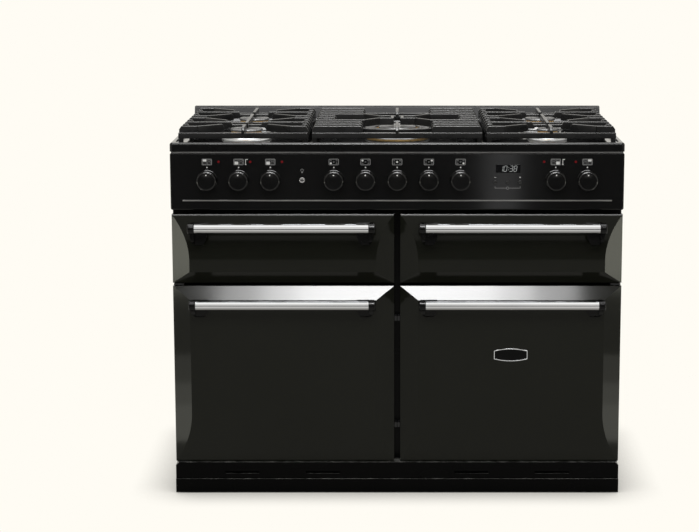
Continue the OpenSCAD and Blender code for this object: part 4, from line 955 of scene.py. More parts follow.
def bracket_levels(bar_z, drop, depth_at, steps=12):
    """Height, share of the foot's width, front and back of the arm, from its foot up."""
    arm_r = drop + ARM_OVER
    round_y, round_z = door_face - ARM_AXIS, bar_z + ARM_OVER
    shoulder = bar_z - BAR_R + ARM_OVER
    deep = drop - BAR_R + ARM_OVER
    turns = [math.radians(90 * (1 - i / steps)) for i in range(steps + 1)]
    places = [(shoulder - deep * math.sin(a), max(FOOT_LEAST, math.cos(a))) for a in turns]
    places.append((bar_z + BAR_R / 2, 1.0))
    levels = []
    for z, share in places:
        span = math.sqrt(max(0.0, arm_r ** 2 - (z - round_z) ** 2))
        levels.append((z, share, round_y - span, door_face + depth_at(z) + FOOT_SINK))
    return levels


def end_cap(form, bar_z, bar_end, sign):
    """The round cap on one end of a tube, rounded over at its outer end."""
    out_x = bar_end + sign * CAP_LEN
    cap_r = BAR_R + CAP_PROUD
    shoulder = CAP_ROUND + CAP_DOME
    profile = [(cap_r - CAP_CHAMFER, bar_end), (cap_r, bar_end + sign * CAP_CHAMFER),
               (cap_r, out_x - sign * shoulder)]
    for i in range(1, 5):
        a = math.radians(22.5 * i)
        profile.append((cap_r - CAP_ROUND * (1 - math.cos(a)),
                        out_x - sign * (shoulder - CAP_ROUND * math.sin(a))))
    profile.append((cap_r - CAP_FLAT, out_x))
    turned(form, (BAR_Y, bar_z), profile, 64, across)


print("bracket caps:", round(2 * (BAR_R + CAP_PROUD), 4), "across")

# %% Build a pair of brackets
BRACKET_EDGE, BRACKET_ANGLE = 1.6 * MM, 32.0


def handle_brackets(name, bar_node, node, body, drop, depth_at):
    """Both brackets of a handle, each with an end cap, an arm and a foot."""
    low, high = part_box(bar_node)
    bar_z = (low.z + high.z) / 2
    form = Form()
    for sign, bar_end in ((-1, low.x), (1, high.x)):
        out_x = bar_end + sign * CAP_LEN
        end_cap(form, bar_z, bar_end, sign)
        arm, foot = [], []
        for z, share, front, back in bracket_levels(bar_z, drop, depth_at):
            front = max(front, BAR_Y)
            outer = FOOT_INWARD - FOOT_HALF * share
            arm_out = min(max(outer, ARM_OUT), CAP_LEN - ARM_END)
            x0, x1 = sorted((bar_end + sign * ARM_IN, out_x - sign * arm_out))
            arm.append([(x0, front, z), (x1, front, z), (x1, back, z), (x0, back, z)])
            near = max(front, BAR_Y + BAR_R + FOOT_BEHIND_BAR)
            x0, x1 = sorted((out_x - sign * outer,
                             out_x - sign * (FOOT_INWARD + FOOT_HALF * share)))
            foot.append([(x0, near, z), (x1, near, z), (x1, back, z), (x0, back, z)])
        form.loft(arm)
        form.loft(foot)
    return new_piece(name, form, body, bracket_black, bevel=BRACKET_EDGE,
                     angle=BRACKET_ANGLE, replaces=(node,))


print("brackets ready")

# %% Fit the four handles
LOWER_DROP, UPPER_DROP = 35 * MM, 46 * MM


def face_depth(z, low_z, high_z, roll, bevel, rolled_end_up):
    """How far the face of a door lies back at a height."""
    rise = high_z - z if rolled_end_up else z - low_z
    height = high_z - low_z
    if rise < roll:
        return roll_depth(roll, rise)
    return max(0.0, (rise - height + bevel) / bevel * RELIEF)


def lower_depth(z):
    """The face of a lower door at a height."""
    return face_depth(z, door_low.z, door_high.z, LOWER_ROLL, LOWER_BEVEL, False)


def upper_depth(z):
    """The face of an upper front at a height."""
    return face_depth(z, front_low.z, front_high.z, UPPER_ROLL, UPPER_BEVEL, True)


handle_places = [("left", "left_oven_door", LOWER_DROP, lower_depth),
                 ("right", "right_oven_door", LOWER_DROP, lower_depth),
                 ("grill", "grill", UPPER_DROP, upper_depth),
                 ("drawer", "drawer", UPPER_DROP, upper_depth)]
for word, body, drop, depth_at in handle_places:
    handle_bar(word + "_handle", word + "_handle_bar", body)
    handle_brackets(word + "_brackets", word + "_handle_bar", word + "_handle_brackets",
                    body, drop, depth_at)
print("handles fitted:", len(handle_places))

# %% [markdown]
# ## Badge
# A bare oval plate with a thin bright rim sits on the right oven door. Its outline is a
# flat oval: two long arcs that meet two short upright ends. The rim and the plate are each
# a row of such outlines, given by how far they lie in and how far they stand proud.

# %% Fix the badge
BADGE_W, BADGE_H, BADGE_Z = 82 * MM, 32 * MM, 353.5 * MM
BADGE_ENDS = 0.34
RIM_ROWS = ((0.0, -0.2), (0.0, 1.2), (0.5, 1.8), (1.7, 1.8), (2.0, 1.2), (2.2, 0.9))
PLATE_ROWS = ((2.0, -0.2), (2.0, 1.15))


def badge_outline(shrink, y):
    """The oval, drawn in by a distance."""
    half, tall = BADGE_W / 2 - shrink, BADGE_H / 2 - shrink
    end = BADGE_H * BADGE_ENDS - shrink
    points = []
    steps = 24
    for sign in (1, -1):
        for i in range(steps + 1):
            t = -1 + 2 * i / steps
            points.append((door_x + sign * -t * half, y,
                           BADGE_Z + sign * (end + (tall - end) * (1 - t * t))))
    return points


for name, rows, material in (("badge_rim", RIM_ROWS, handle_chrome),
                             ("badge_plate", PLATE_ROWS, black_enamel)):
    form = Form()
    form.loft([badge_outline(inset * MM, door_face - proud * MM) for inset, proud in rows])
    new_piece(name, form, "right_oven_door", material, angle=40.0)
print("badge fixed")

# %% [markdown]
# ## Control panel
# The panel is a pressed sheet with rounded edges, finished in gloss black enamel. It has a
# round pocket for each push button, so that a button can sink in. A thin silver line runs
# along it, and a pale grey strip in the joint between the panel and the hob paints the
# highlight along the top edge of the panel.

# %% Press the control panel
def rounded_rect(x0, x1, z0, z1, radius, steps=5):
    """Corner points of a rounded rectangle, anticlockwise from the lower right."""
    points = []
    for cx, cz, turn in ((x1 - radius, z0 + radius, -90), (x1 - radius, z1 - radius, 0),
                         (x0 + radius, z1 - radius, 90), (x0 + radius, z0 + radius, 180)):
        for i in range(steps + 1):
            a = math.radians(turn + 90 * i / steps)
            points.append((cx + radius * math.cos(a), cz + radius * math.sin(a)))
    return points


PANEL_CORNER, LEAST_CORNER = 5 * MM, 0.5 * MM


def panel_ring(shrink, y):
    """The outline of the panel, drawn in by a distance."""
    corner = max(PANEL_CORNER - shrink, LEAST_CORNER)
    outline = rounded_rect(-half_w + shrink, half_w - shrink, panel_low.z + shrink,
                           panel_high.z - shrink, corner)
    return [(x, y, z) for x, z in outline]


def pocketed_face(form, ring, pockets, depth, count=48):
    """Close a ring with a flat face that has round pockets in it."""
    front = ring[0][1]
    holes = [facing_front(centre, front, radius, count) for centre, radius in pockets]
    outlines = [[Vector(point) for point in outline] for outline in [ring] + holes]
    form.add([point for outline in outlines for point in outline],
             tessellate_polygon(outlines))
    for (centre, radius), hole in zip(pockets, holes):
        floor_ring = facing_front(centre, front + depth, radius, count)
        form.loft([hole, floor_ring], cap_start=False)


print("panel outline:", len(panel_ring(0.0, panel_y)), "points")

# %% Cut the pockets and close the panel
BUTTON_NAMES = ("light_button", "clock_minus_button", "clock_mode_button",
                "clock_plus_button")
BUTTON_GAP, POCKET_DEEP = 0.5 * MM, 8 * MM
pockets = []
for name in BUTTON_NAMES:
    low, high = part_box(name)
    pockets.append((centre_of(low, high), (high.x - low.x) / 2 + BUTTON_GAP))

PANEL_EDGE = 3.2 * MM
rings = [panel_ring(0.0, panel_high.y), panel_ring(0.0, panel_y + PANEL_EDGE)]
for inset, down in rounded_edge(PANEL_EDGE, steps=5, first=1):
    rings.append(panel_ring(inset, panel_y + down))
panel_form = Form()
panel_form.loft(rings, cap_end=False)
pocketed_face(panel_form, rings[-1], pockets, POCKET_DEEP)
panel = new_piece("control_panel_front", panel_form, "chassis", panel_enamel, angle=35.0,
                  replaces=("control_panel",))
keep_faces_flat(panel)
print("panel pressed, depth", round(panel_high.y - panel_y, 4), "pockets", len(pockets))

# %% Add the silver line and the painted highlight strip
LINE_RISE, LINE_IN, LINE_HALF, LINE_SINK = 23.3 * MM, 29 * MM, 1.5 * MM, 0.5 * MM
HIGHLIGHT_IN, HIGHLIGHT_FRONT, HIGHLIGHT_BACK = 3 * MM, 0.6 * MM, 7 * MM
HIGHLIGHT_BELOW, HIGHLIGHT_ABOVE = 0.2 * MM, 0.3 * MM
THIN_EDGE = 0.5 * MM
line_z = panel_low.z + LINE_RISE
line_x = half_w - LINE_IN
line_form = Form()
line_form.block((-line_x, panel_y - panel_trim, line_z - LINE_HALF),
                (line_x, panel_y + LINE_SINK, line_z + LINE_HALF))
new_piece("panel_line", line_form, "chassis", trim_silver, bevel=THIN_EDGE)
# The pale strip in the joint paints the highlight along the top edge of the panel.
highlight_form = Form()
highlight_form.block((-half_w + HIGHLIGHT_IN, panel_y + HIGHLIGHT_FRONT, panel_high.z - HIGHLIGHT_BELOW),
                (half_w - HIGHLIGHT_IN, panel_y + HIGHLIGHT_BACK, hob_low.z + HIGHLIGHT_ABOVE))
new_piece("joint_seal", highlight_form, "chassis", highlight_grey, bevel=THIN_EDGE, segments=2)
print("line and highlight strip added at", round(line_z, 4), "and", round(panel_high.z, 4))

# %% [markdown]
# The marks over the oven knobs show the front of the cooker as four small panes, with the
# pane that the knob works filled in. The marks over the gas knobs show the five burners.

# %% Write the ink helpers
INK_BACK, INK_FRONT = panel_y + 0.2 * MM, panel_y - 0.12 * MM


def ink_block(form, x0, x1, z0, z1):
    """An upright or level bar of ink."""
    form.block((x0, INK_FRONT, z0), (x1, INK_BACK, z1))


def ink_frame(form, cx, cz, width, height, line, corner=1.6 * MM):
    """A rounded frame of thin line."""
    outer = rounded_rect(cx - width / 2, cx + width / 2, cz - height / 2, cz + height / 2,
                         corner)
    inner = rounded_rect(cx - width / 2 + line, cx + width / 2 - line,
                         cz - height / 2 + line, cz + height / 2 - line,
                         max(corner - line, 0.3 * MM))
    form.loft([[(x, INK_BACK, z) for x, z in outer], [(x, INK_FRONT, z) for x, z in outer],
               [(x, INK_FRONT, z) for x, z in inner], [(x, INK_BACK, z) for x, z in inner]],
              closed=True)


def ink_disc(form, cx, cz, radius, count=20):
    """A dot of ink."""
    turned(form, (cx, cz), [(radius, INK_BACK), (radius, INK_FRONT)], count, facing_front)


def ink_ring(form, cx, cz, radius, line, count=28):
    """A ring of ink, with the width of its line."""
    turned(form, (cx, cz), [(radius, INK_BACK), (radius, INK_FRONT),
                            (radius - line, INK_FRONT), (radius - line, INK_BACK)],
           count, facing_front, closed=True)


print("ink helpers ready")

# %% Print the marks over the oven knobs
KNOB_PITCH = 76.15 * MM
ICON_RISE, DOT_RISE, DOT_R = 43.7 * MM, 30.5 * MM, 1.7 * MM
knob_low, knob_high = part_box("knob_centre_burner")
KNOB_R = (knob_high.x - knob_low.x) / 2
knob_z = (knob_low.z + knob_high.z) / 2
icon_z = knob_z + ICON_RISE
white, grey = Form(), Form()

ICON_W, ICON_H, ICON_LINE, ICON_CORNER = 24 * MM, 15.2 * MM, 1.3 * MM, 2.4 * MM
PANE_OUT, PANE_W, PANE_LINE, PANE_CORNER = 5.3 * MM, 8.8 * MM, 0.7 * MM, 1.0 * MM
PANE_RISE = {1: 3.6 * MM, -1: -2.6 * MM}
PANE_TALL = {1: 3.6 * MM, -1: 5.6 * MM}
FILL_HALF, FILL_MORE = 4.3 * MM, 0.6 * MM
OVEN_MARKS = {-6: (-1, 1), -5: (-1, -1), -4: (-1, -1), 5: (1, -1), 6: (1, 1)}
HOOKED_MARKS = (-5, 5)
HOOK_OUT, HOOK_DOT_DOWN = 17 * MM, 5.6 * MM
HOOK_STEM, HOOK_TOP = (-0.8, 0.5, -5.0, 6.0), (-0.8, 5.0, 5.4, 6.9)


def hook_sign(x):
    """A bar with a hook at its top and a dot at its foot, beside a mark."""
    for left, right, low, high in (HOOK_STEM, HOOK_TOP):
        ink_block(white, x + left * MM, x + right * MM, icon_z + low * MM, icon_z + high * MM)
    ink_disc(white, x, icon_z - HOOK_DOT_DOWN, DOT_R)


for k, filled in OVEN_MARKS.items():
    cx = k * KNOB_PITCH
    ink_frame(grey, cx, icon_z, ICON_W, ICON_H, ICON_LINE, ICON_CORNER)
    for side in (-1, 1):
        for row in (-1, 1):
            px, pz, tall = cx + side * PANE_OUT, icon_z + PANE_RISE[row], PANE_TALL[row]
            if (side, row) == filled:
                ink_block(white, px - FILL_HALF, px + FILL_HALF, pz - tall / 2 - FILL_MORE,
                          pz + tall / 2 + FILL_MORE)
            else:
                ink_frame(grey, px, pz, PANE_W, tall, PANE_LINE, PANE_CORNER)
    if k in HOOKED_MARKS:
        hook_sign(cx + HOOK_OUT)
print("marks over oven knobs:", len(OVEN_MARKS))

# %% Print the marks over the gas knobs
BURNER_SPOTS = ((-1, -1), (-1, 1), (0, 0), (1, 1), (1, -1))
BURNER_MARKS = {-2: (-1, -1), -1: (-1, 1), 0: (0, 0), 1: (1, 1), 2: (1, -1)}
SPOT_OUT, SPOT_UP = 7 * MM, 3.4 * MM
LIT_R, SPOT_R, SPOT_LINE = 2.3 * MM, 1.7 * MM, 0.6 * MM
for k, lit in BURNER_MARKS.items():
    cx = k * KNOB_PITCH
    ink_frame(grey, cx, icon_z, ICON_W, ICON_H, ICON_LINE, ICON_CORNER)
    for spot in BURNER_SPOTS:
        sx, sz = cx + spot[0] * SPOT_OUT, icon_z + spot[1] * SPOT_UP
        if spot == lit:
            ink_disc(white, sx, sz, LIT_R)
        else:
            ink_ring(grey, sx, sz, SPOT_R, SPOT_LINE)
for k in list(OVEN_MARKS) + list(BURNER_MARKS):
    ink_disc(white, k * KNOB_PITCH, knob_z + DOT_RISE, DOT_R)
print("marks over gas knobs:", len(BURNER_MARKS))

# %% Print the marks round the clock and the light button
key_low, key_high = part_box("clock_mode_button")
key_x, key_z = centre_of(key_low, key_high)
KEY_PITCH = 29.75 * MM
SIGN_RISE, SIGN_HALF, STROKE_HALF = 12 * MM, 2 * MM, 0.5 * MM
LOOP_DROP, LOOP_R, LOOP_LINE, LOOP_TALL = 14 * MM, 3.4 * MM, 0.9 * MM, 4 * MM

sign_z = key_z + SIGN_RISE
plus_x = key_x + KEY_PITCH
for side in (-1, 1):
    ink_block(white, key_x + side * KEY_PITCH - SIGN_HALF, key_x + side * KEY_PITCH + SIGN_HALF,
              sign_z - STROKE_HALF, sign_z + STROKE_HALF)
ink_block(white, plus_x - STROKE_HALF, plus_x + STROKE_HALF,
          sign_z - SIGN_HALF, sign_z + SIGN_HALF)

loop_z = key_z - LOOP_DROP
for side in (-1, 1):
    corner_x = key_x + side * (KEY_PITCH + STROKE_HALF)
    ink_block(grey, *sorted((key_x + side * LOOP_R,
                             key_x + side * (KEY_PITCH + 2 * STROKE_HALF))),
              loop_z - STROKE_HALF, loop_z + STROKE_HALF)
    ink_block(grey, corner_x - STROKE_HALF, corner_x + STROKE_HALF, loop_z, loop_z + LOOP_TALL)
ink_ring(grey, key_x, loop_z, LOOP_R, LOOP_LINE)

BULB_RISE, BULB_R, BULB_LINE = 23.5 * MM, 3.6 * MM, 0.9 * MM
SOCKET_LOW, SOCKET_HIGH, SOCKET_HALF = 17 * MM, 19.6 * MM, 1.6 * MM
light_x = -3 * KNOB_PITCH
ink_ring(grey, light_x, knob_z + BULB_RISE, BULB_R, BULB_LINE)
ink_block(grey, light_x - SOCKET_HALF, light_x + SOCKET_HALF,
          knob_z + SOCKET_LOW, knob_z + SOCKET_HIGH)
new_piece("white_print", white, "chassis", print_white, smooth=False)
new_piece("grey_print", grey, "chassis", print_grey, smooth=False)
print("print made over", len(OVEN_MARKS) + len(BURNER_MARKS), "knobs")

# %% [markdown]
# The clock is a pane of dark glass that its digits shine through. Here the digits stand a
# hair proud of the pane, so that the pane can be a plain dark gloss. Each digit is made of
# seven slanted bars, as on a real display, and only the lit ones are made.

# %% Make the clock
WINDOW_W, WINDOW_H, WINDOW_CORNER = 59.5 * MM, 20.5 * MM, 0.8 * MM
WINDOW_SHIFT, WINDOW_RISE = 1 * MM, 27.5 * MM
PANE_BACK, PANE_FRONT = panel_y + 2 * MM, panel_y - 0.3 * MM
clock_low, clock_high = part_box("clock_module")
window_x = key_x + WINDOW_SHIFT
window_z = knob_z + WINDOW_RISE
pane = Form()
outline = rounded_rect(window_x - WINDOW_W / 2, window_x + WINDOW_W / 2,
                       window_z - WINDOW_H / 2, window_z + WINDOW_H / 2, WINDOW_CORNER)
pane.loft([[(x, y, z) for x, z in outline] for y in (PANE_BACK, PANE_FRONT)])
new_piece("clock_pane", pane, "chassis", clock_glass, bevel=0.25 * MM, segments=2,
          replaces=("clock_module",))
print("pane", round(WINDOW_W, 4), "wide on a solid", round(clock_high.x - clock_low.x, 4), "wide")

# %% Light the digits
DIGIT_W, DIGIT_H, STROKE, SLANT = 6.6 * MM, 13.4 * MM, 1.25 * MM, 0.16
DIGIT_BACK, DIGIT_FRONT = panel_y - 0.2 * MM, panel_y - 0.42 * MM
DIGIT_GAP = 0.5 * MM
SEGMENTS = {"top": (0, 1, 1, 1), "middle": (0, 0.5, 1, 0.5), "bottom": (0, 0, 1, 0),
            "upper left": (0, 0.5, 0, 1), "upper right": (1, 0.5, 1, 1),
            "lower left": (0, 0, 0, 0.5), "lower right": (1, 0, 1, 0.5)}
LIT = {"1": ("upper right", "lower right"),
       "0": ("top", "bottom", "upper left", "upper right", "lower left", "lower right"),
       "3": ("top", "middle", "bottom", "upper right", "lower right"),
       "8": tuple(SEGMENTS)}


def digit_bar(form, x0, z0, x1, z1):
    """One slanted bar of a digit, shortened at its ends."""
    gap = DIGIT_GAP
    if z0 == z1:
        corners = [(x0 + gap, z0 - STROKE / 2), (x1 - gap, z0 - STROKE / 2),
                   (x1 - gap, z0 + STROKE / 2), (x0 + gap, z0 + STROKE / 2)]
    else:
        corners = [(x0 - STROKE / 2, z0 + gap), (x0 + STROKE / 2, z0 + gap),
                   (x1 + STROKE / 2, z1 - gap), (x1 - STROKE / 2, z1 - gap)]
    base = window_z - DIGIT_H / 2
    form.loft([[(x + (z - base) * SLANT, y, z) for x, z in corners]
               for y in (DIGIT_BACK, DIGIT_FRONT)])


digits = Form()
FIGURES = ((-20.5 * MM, "1"), (-11.0 * MM, "0"), (3.0 * MM, "3"), (13.0 * MM, "8"))
for start, figure in FIGURES:
    left, foot = window_x + start, window_z - DIGIT_H / 2
    for part in LIT[figure]:
        ax, az, bx, bz = SEGMENTS[part]
        digit_bar(digits, left + ax * DIGIT_W, foot + az * DIGIT_H,
                  left + bx * DIGIT_W, foot + bz * DIGIT_H)
COLON_RISES, COLON_HALF = (0.3, 0.7), 0.7 * MM
for rise in COLON_RISES:
    dot_z = window_z + (rise - 0.5) * DIGIT_H
    dot_x = window_x + (rise * DIGIT_H) * SLANT
    digits.block((dot_x - COLON_HALF, DIGIT_FRONT, dot_z - COLON_HALF),
                 (dot_x + COLON_HALF, DIGIT_BACK, dot_z + COLON_HALF))
new_piece("clock_digits", digits, "chassis", digit_light, smooth=False)
print("digits lit:", len(FIGURES))

# %% [markdown]
# ## Knobs, keys and lamps
# A knob is turned from one profile: a skirt, a rounded shoulder and a face that is slightly
# dished. A white dot on the face shows where it points, so it rides on the knob's own body.

# %% Turn the knobs
KNOB_FRONT, KNOB_BACK = 0.3 * MM, 0.6 * MM
SKIRT_IN, SKIRT_EDGE, SKIRT_H = 3 * MM, 0.5 * MM, 4 * MM
SKIRT_STEP, STEP_SLOPE = 0.9 * MM, 1 * MM
GRIP_IN, SHOULDER = 1.1 * MM, 4.2 * MM
FACE_DISH = ((0.7, 0.15), (0.45, 0.7), (0.2, 1.0))
KNOB_DOT_AT, KNOB_DOT_ROWS = 0.6, ((1.7, 1.0), (1.7, -0.05), (1.3, -0.25))
knob_names = [n for n in node_objects if n.startswith("knob_")]


def knob_profile(front, back):
    """Radius and depth pairs from the panel out to the middle of the face."""
    grip_r = KNOB_R - GRIP_IN
    profile = [(KNOB_R - SKIRT_IN, back), (KNOB_R - SKIRT_EDGE, back),
               (KNOB_R, back - SKIRT_EDGE), (KNOB_R, back - SKIRT_H),
               (KNOB_R - SKIRT_STEP, back - SKIRT_H - STEP_SLOPE), (grip_r, front + SHOULDER)]
    profile += [(grip_r - inset, front + down) for inset, down in rounded_edge(SHOULDER, first=1)]
    return profile + [(KNOB_R * share, front + deep * MM) for share, deep in FACE_DISH]


for name in knob_names:
    low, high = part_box(name)
    centre_x = (low.x + high.x) / 2
    front, back = low.y + KNOB_FRONT, panel_y - KNOB_BACK
    form = Form()
    turned(form, (centre_x, knob_z), knob_profile(front, back), 72, facing_front)
    new_piece(name + "_turned", form, name, knob_black, angle=40.0, replaces=(name,))
    dot = Form()
    turned(dot, (centre_x, knob_z + KNOB_R * KNOB_DOT_AT),
           [(wide * MM, front + deep * MM) for wide, deep in KNOB_DOT_ROWS], 24, facing_front)
    new_piece(name + "_dot", dot, name, print_white)
print("knobs turned:", len(knob_names))

# %% [markdown]
# The light button is a small metal cap with a raised rim, and the three clock keys are flat
# black plungers. Each is turned round its own axis and reaches back into its pocket, so
# that the panel closes round it when it is pushed.

# %% Turn the light button and the keys
BUTTON_DEEP = -4.0
BUTTON_ROWS = ((0.0, BUTTON_DEEP), (0.0, 2.0), (0.8, 2.8), (2.2, 3.0), (3.2, 2.2), (3.6, 1.6))
BUTTON_MIDDLE_R, BUTTON_MIDDLE = 1 * MM, 1.4 * MM
low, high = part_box("light_button")
light_r = (high.x - low.x) / 2
button = Form()
turned(button, centre_of(low, high),
       [(light_r - inset * MM, panel_y - proud * MM) for inset, proud in BUTTON_ROWS]
       + [(BUTTON_MIDDLE_R, panel_y - BUTTON_MIDDLE)], 48, facing_front)
new_piece("light_button_turned", button, "light_button", button_chrome, angle=50.0,
          replaces=("light_button",))

KEY_ROWS = ((1.0, 0.0, BUTTON_DEEP), (1.0, 0.0, 1.0), (1.0, 0.5, 1.5), (0.5, 0.0, 1.2),
            (0.2, 0.0, 1.1))
for name in BUTTON_NAMES[1:]:
    low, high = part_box(name)
    key_r = (high.x - low.x) / 2
    key = Form()
    turned(key, ((low.x + high.x) / 2, key_z),
           [(key_r * share - inset * MM, panel_y - proud * MM)
            for share, inset, proud in KEY_ROWS], 40, facing_front)
    new_piece(name + "_turned", key, name, key_black, angle=40.0, replaces=(name,))
print("buttons turned")

# %% [markdown]
# A small red lamp glows beside each mark of the oven knobs. Its lens is a shallow dome, set
# out as shares of its radius and how far each share stands proud of the panel.

# %% Turn the lamps
LAMP_SPOTS = ((-6, 1), (-5, 1), (-4, 1), (5, -1), (6, -1))
LAMP_R, LAMP_SHIFT, LAMP_RISE = 3 * MM, 28 * MM, 0.3 * MM
LENS_ROWS = ((1.0, -0.5), (1.0, 0.3), (0.85, 0.8), (0.5, 1.1), (0.15, 1.2))
lamps = Form()
for k, side in LAMP_SPOTS:
    turned(lamps, (k * KNOB_PITCH + side * LAMP_SHIFT, icon_z + LAMP_RISE),
           [(LAMP_R * share, panel_y - proud * MM) for share, proud in LENS_ROWS],
           28, facing_front)
new_piece("lamp_lenses", lamps, "chassis", lamp_red, angle=50.0,
          replaces=("indicator_lamps",))
print("lamps:", len(LAMP_SPOTS))

# %% [markdown]
# ## Hob
# The hob is one enamelled pressing. Its edge is rounded over, a flat rim runs round it, and
# the wall of the recess flows into the floor in a soft curve, because sheet steel can't be
# pressed with a sharp corner. The mesh is a skin over rounded rectangles, from the
# underside out and up over the edge, then down into the recess.

# %% Press the hob
RIM_W = 15 * MM
LIP_R = 6 * MM
RECESS = 9.5 * MM
UPSTAND_D = 34 * MM
HOB_CORNER, LEAST_HOB_CORNER, RECESS_CORNER = 8 * MM, 1 * MM, 16 * MM
UNDER_IN, UNDER_DOWN = 2.5 * MM, 2 * MM
REAR_RIM = 6 * MM
SLOPE_START, SLOPE_RUN, WALL_STEPS = -3.5, 6, 8
hob_top = hob_high.z
hob_floor = hob_top - RECESS


def hob_ring(shrink, z):
    """The outline of the hob, drawn in by a distance."""
    corner = max(HOB_CORNER - shrink, LEAST_HOB_CORNER)
    outline = rounded_rect(-half_w + shrink, half_w - shrink, hob_low.y + shrink,
                           hob_high.y - shrink, corner, steps=8)
    return [(x, y, z) for x, y in outline]


def recess_ring(inset, z):
    """The outline of the recess, drawn in by a distance."""
    outline = rounded_rect(-half_w + RIM_W + inset, half_w - RIM_W - inset,
                           hob_low.y + RIM_W + inset,
                           hob_high.y - UPSTAND_D - REAR_RIM - inset, RECESS_CORNER - inset,
                           steps=8)
    return [(x, y, z) for x, y in outline]


rings = [hob_ring(UNDER_IN, hob_floor - UNDER_DOWN), hob_ring(UNDER_IN, hob_low.z),
         hob_ring(0.0, hob_low.z)]
for inset, down in rounded_edge(LIP_R):
    rings.append(hob_ring(inset, hob_top - down))
for i in range(WALL_STEPS + 1):
    t = i / WALL_STEPS
    rings.append(recess_ring((SLOPE_START + SLOPE_RUN * t) * MM,
                             hob_top - RECESS * (1 - math.cos(math.pi * t)) / 2))
hob_form = Form()
hob_form.loft(rings)
hob = new_piece("hob_pressing", hob_form, "chassis", hob_enamel, angle=60.0,
                replaces=("hob_tray",))
keep_faces_flat(hob)
print("hob pressed, floor at", round(hob_floor, 4))

# %% [markdown]
# ## Burners
# A burner is a stack: an aluminium cup with a broad flange, a brass ring with ports for the
# flames, and a cap. The ports are notches in the ring's upper edge, so the ring is set out
# port by port: four points step in and out, and two more lead on to the next port.

# %% Write the burner helpers
FLANGE_T = 4 * MM
CROWN_RISE = 13.5 * MM
RING_T = 8.5 * MM
CAP_T = 6 * MM
BURNER_IN = 173.5 * MM
burner_x = half_w - BURNER_IN
FRONT_BURNER, MID_BURNER, REAR_BURNER = 150 * MM, 277 * MM, 397 * MM
LARGE_R, MEDIUM_R, SMALL_R = 40 * MM, 39 * MM, 27.5 * MM
BURNERS = ((-1, FRONT_BURNER, LARGE_R), (-1, REAR_BURNER, MEDIUM_R),
           (1, REAR_BURNER, MEDIUM_R), (1, FRONT_BURNER, SMALL_R))
WOK_R, WOK_BAND, WOK_CAP_R = 82 * MM, 25 * MM, 47.5 * MM
crown_z = hob_floor + CROWN_RISE
PORT_W, PORT_DEEP, PORT_TAPER = 1.8 * MM, 4 * MM, 0.98
PORT_SILL, SILL_SLOPE = 0.35, 0.1 * MM


def port_ring(centre, radius, deep, z, ports):
    """A ring with a notch at every port; deep is 0 where the ring is whole."""
    points = []
    half = PORT_W / 2 / radius
    step = 2 * math.pi / ports
    for i in range(ports):
        a = (i + 0.5) * step
        corners = [(a - half, radius), (a - half * PORT_TAPER, radius - deep),
                   (a + half * PORT_TAPER, radius - deep), (a + half, radius)]
        corners += [(a + half + (step - 2 * half) * f, radius) for f in (0.33, 0.66)]
        points += [(centre[0] + r * math.cos(b), centre[1] + r * math.sin(b), z)
                   for b, r in corners]
    return points


def flame_ring(form, centre, radius, bore, low_z, height, ports):
    """A ring with a row of ports that are open at the top."""
    sill = low_z + height * PORT_SILL
    form.loft([port_ring(centre, bore, 0.0, low_z, ports),
               port_ring(centre, radius, 0.0, low_z, ports),
               port_ring(centre, radius, 0.0, sill, ports),
               port_ring(centre, radius, PORT_DEEP, sill + SILL_SLOPE, ports),
               port_ring(centre, radius, PORT_DEEP, low_z + height, ports),
               port_ring(centre, bore, 0.0, low_z + height, ports)], closed=True)


CAP_DOME_RISE, CAP_FOOT_IN, CAP_FOOT_UP = 0.7 * MM, 1 * MM, 0.8 * MM
CAP_DOME_ROWS = ((0.75, 0.35), (0.45, 0.1), (0.15, 0.0))


def cap(form, centre, radius, low_z, height, edge=2.6 * MM):
    """A pressed cap: a rounded edge and a top that is a little domed."""
    profile = [(radius - CAP_FOOT_IN, low_z), (radius, low_z + CAP_FOOT_UP)]
    top = low_z + height
    profile += [(radius - inset, top - CAP_DOME_RISE - down)
                for inset, down in rounded_edge(edge)]
    profile += [(radius * share, top - down * MM) for share, down in CAP_DOME_ROWS]
    turned(form, centre, profile, 72)


print("burner helpers ready")

# %% Build the four side burners
FLANGE_ROWS = ((21, 0.0), (21, 3.0), (20.4, 3.8), (19.6, 4.0), (9, 4.0), (7.6, 4.4))
CROWN_ROWS = ((0.4, 0.6), (-0.4, 0.0))
BORE_SHARE, RING_IN, SIDE_PORTS = 0.45, 3 * MM, 24
cups, flames, caps = Form(), Form(), Form()
for side, depth, radius in BURNERS:
    centre = (side * burner_x, panel_y + depth)
    bore = radius * BORE_SHARE
    profile = [(radius + out * MM, hob_floor + rise * MM) for out, rise in FLANGE_ROWS]
    profile += [(radius + out * MM, crown_z - down * MM) for out, down in CROWN_ROWS]
    turned(cups, centre, profile + [(bore, crown_z)], 72)
    flame_ring(flames, centre, radius - RING_IN, bore, crown_z, RING_T, SIDE_PORTS)
    cap(caps, centre, radius, crown_z + RING_T, CAP_T)
print("side burners:", len(BURNERS))

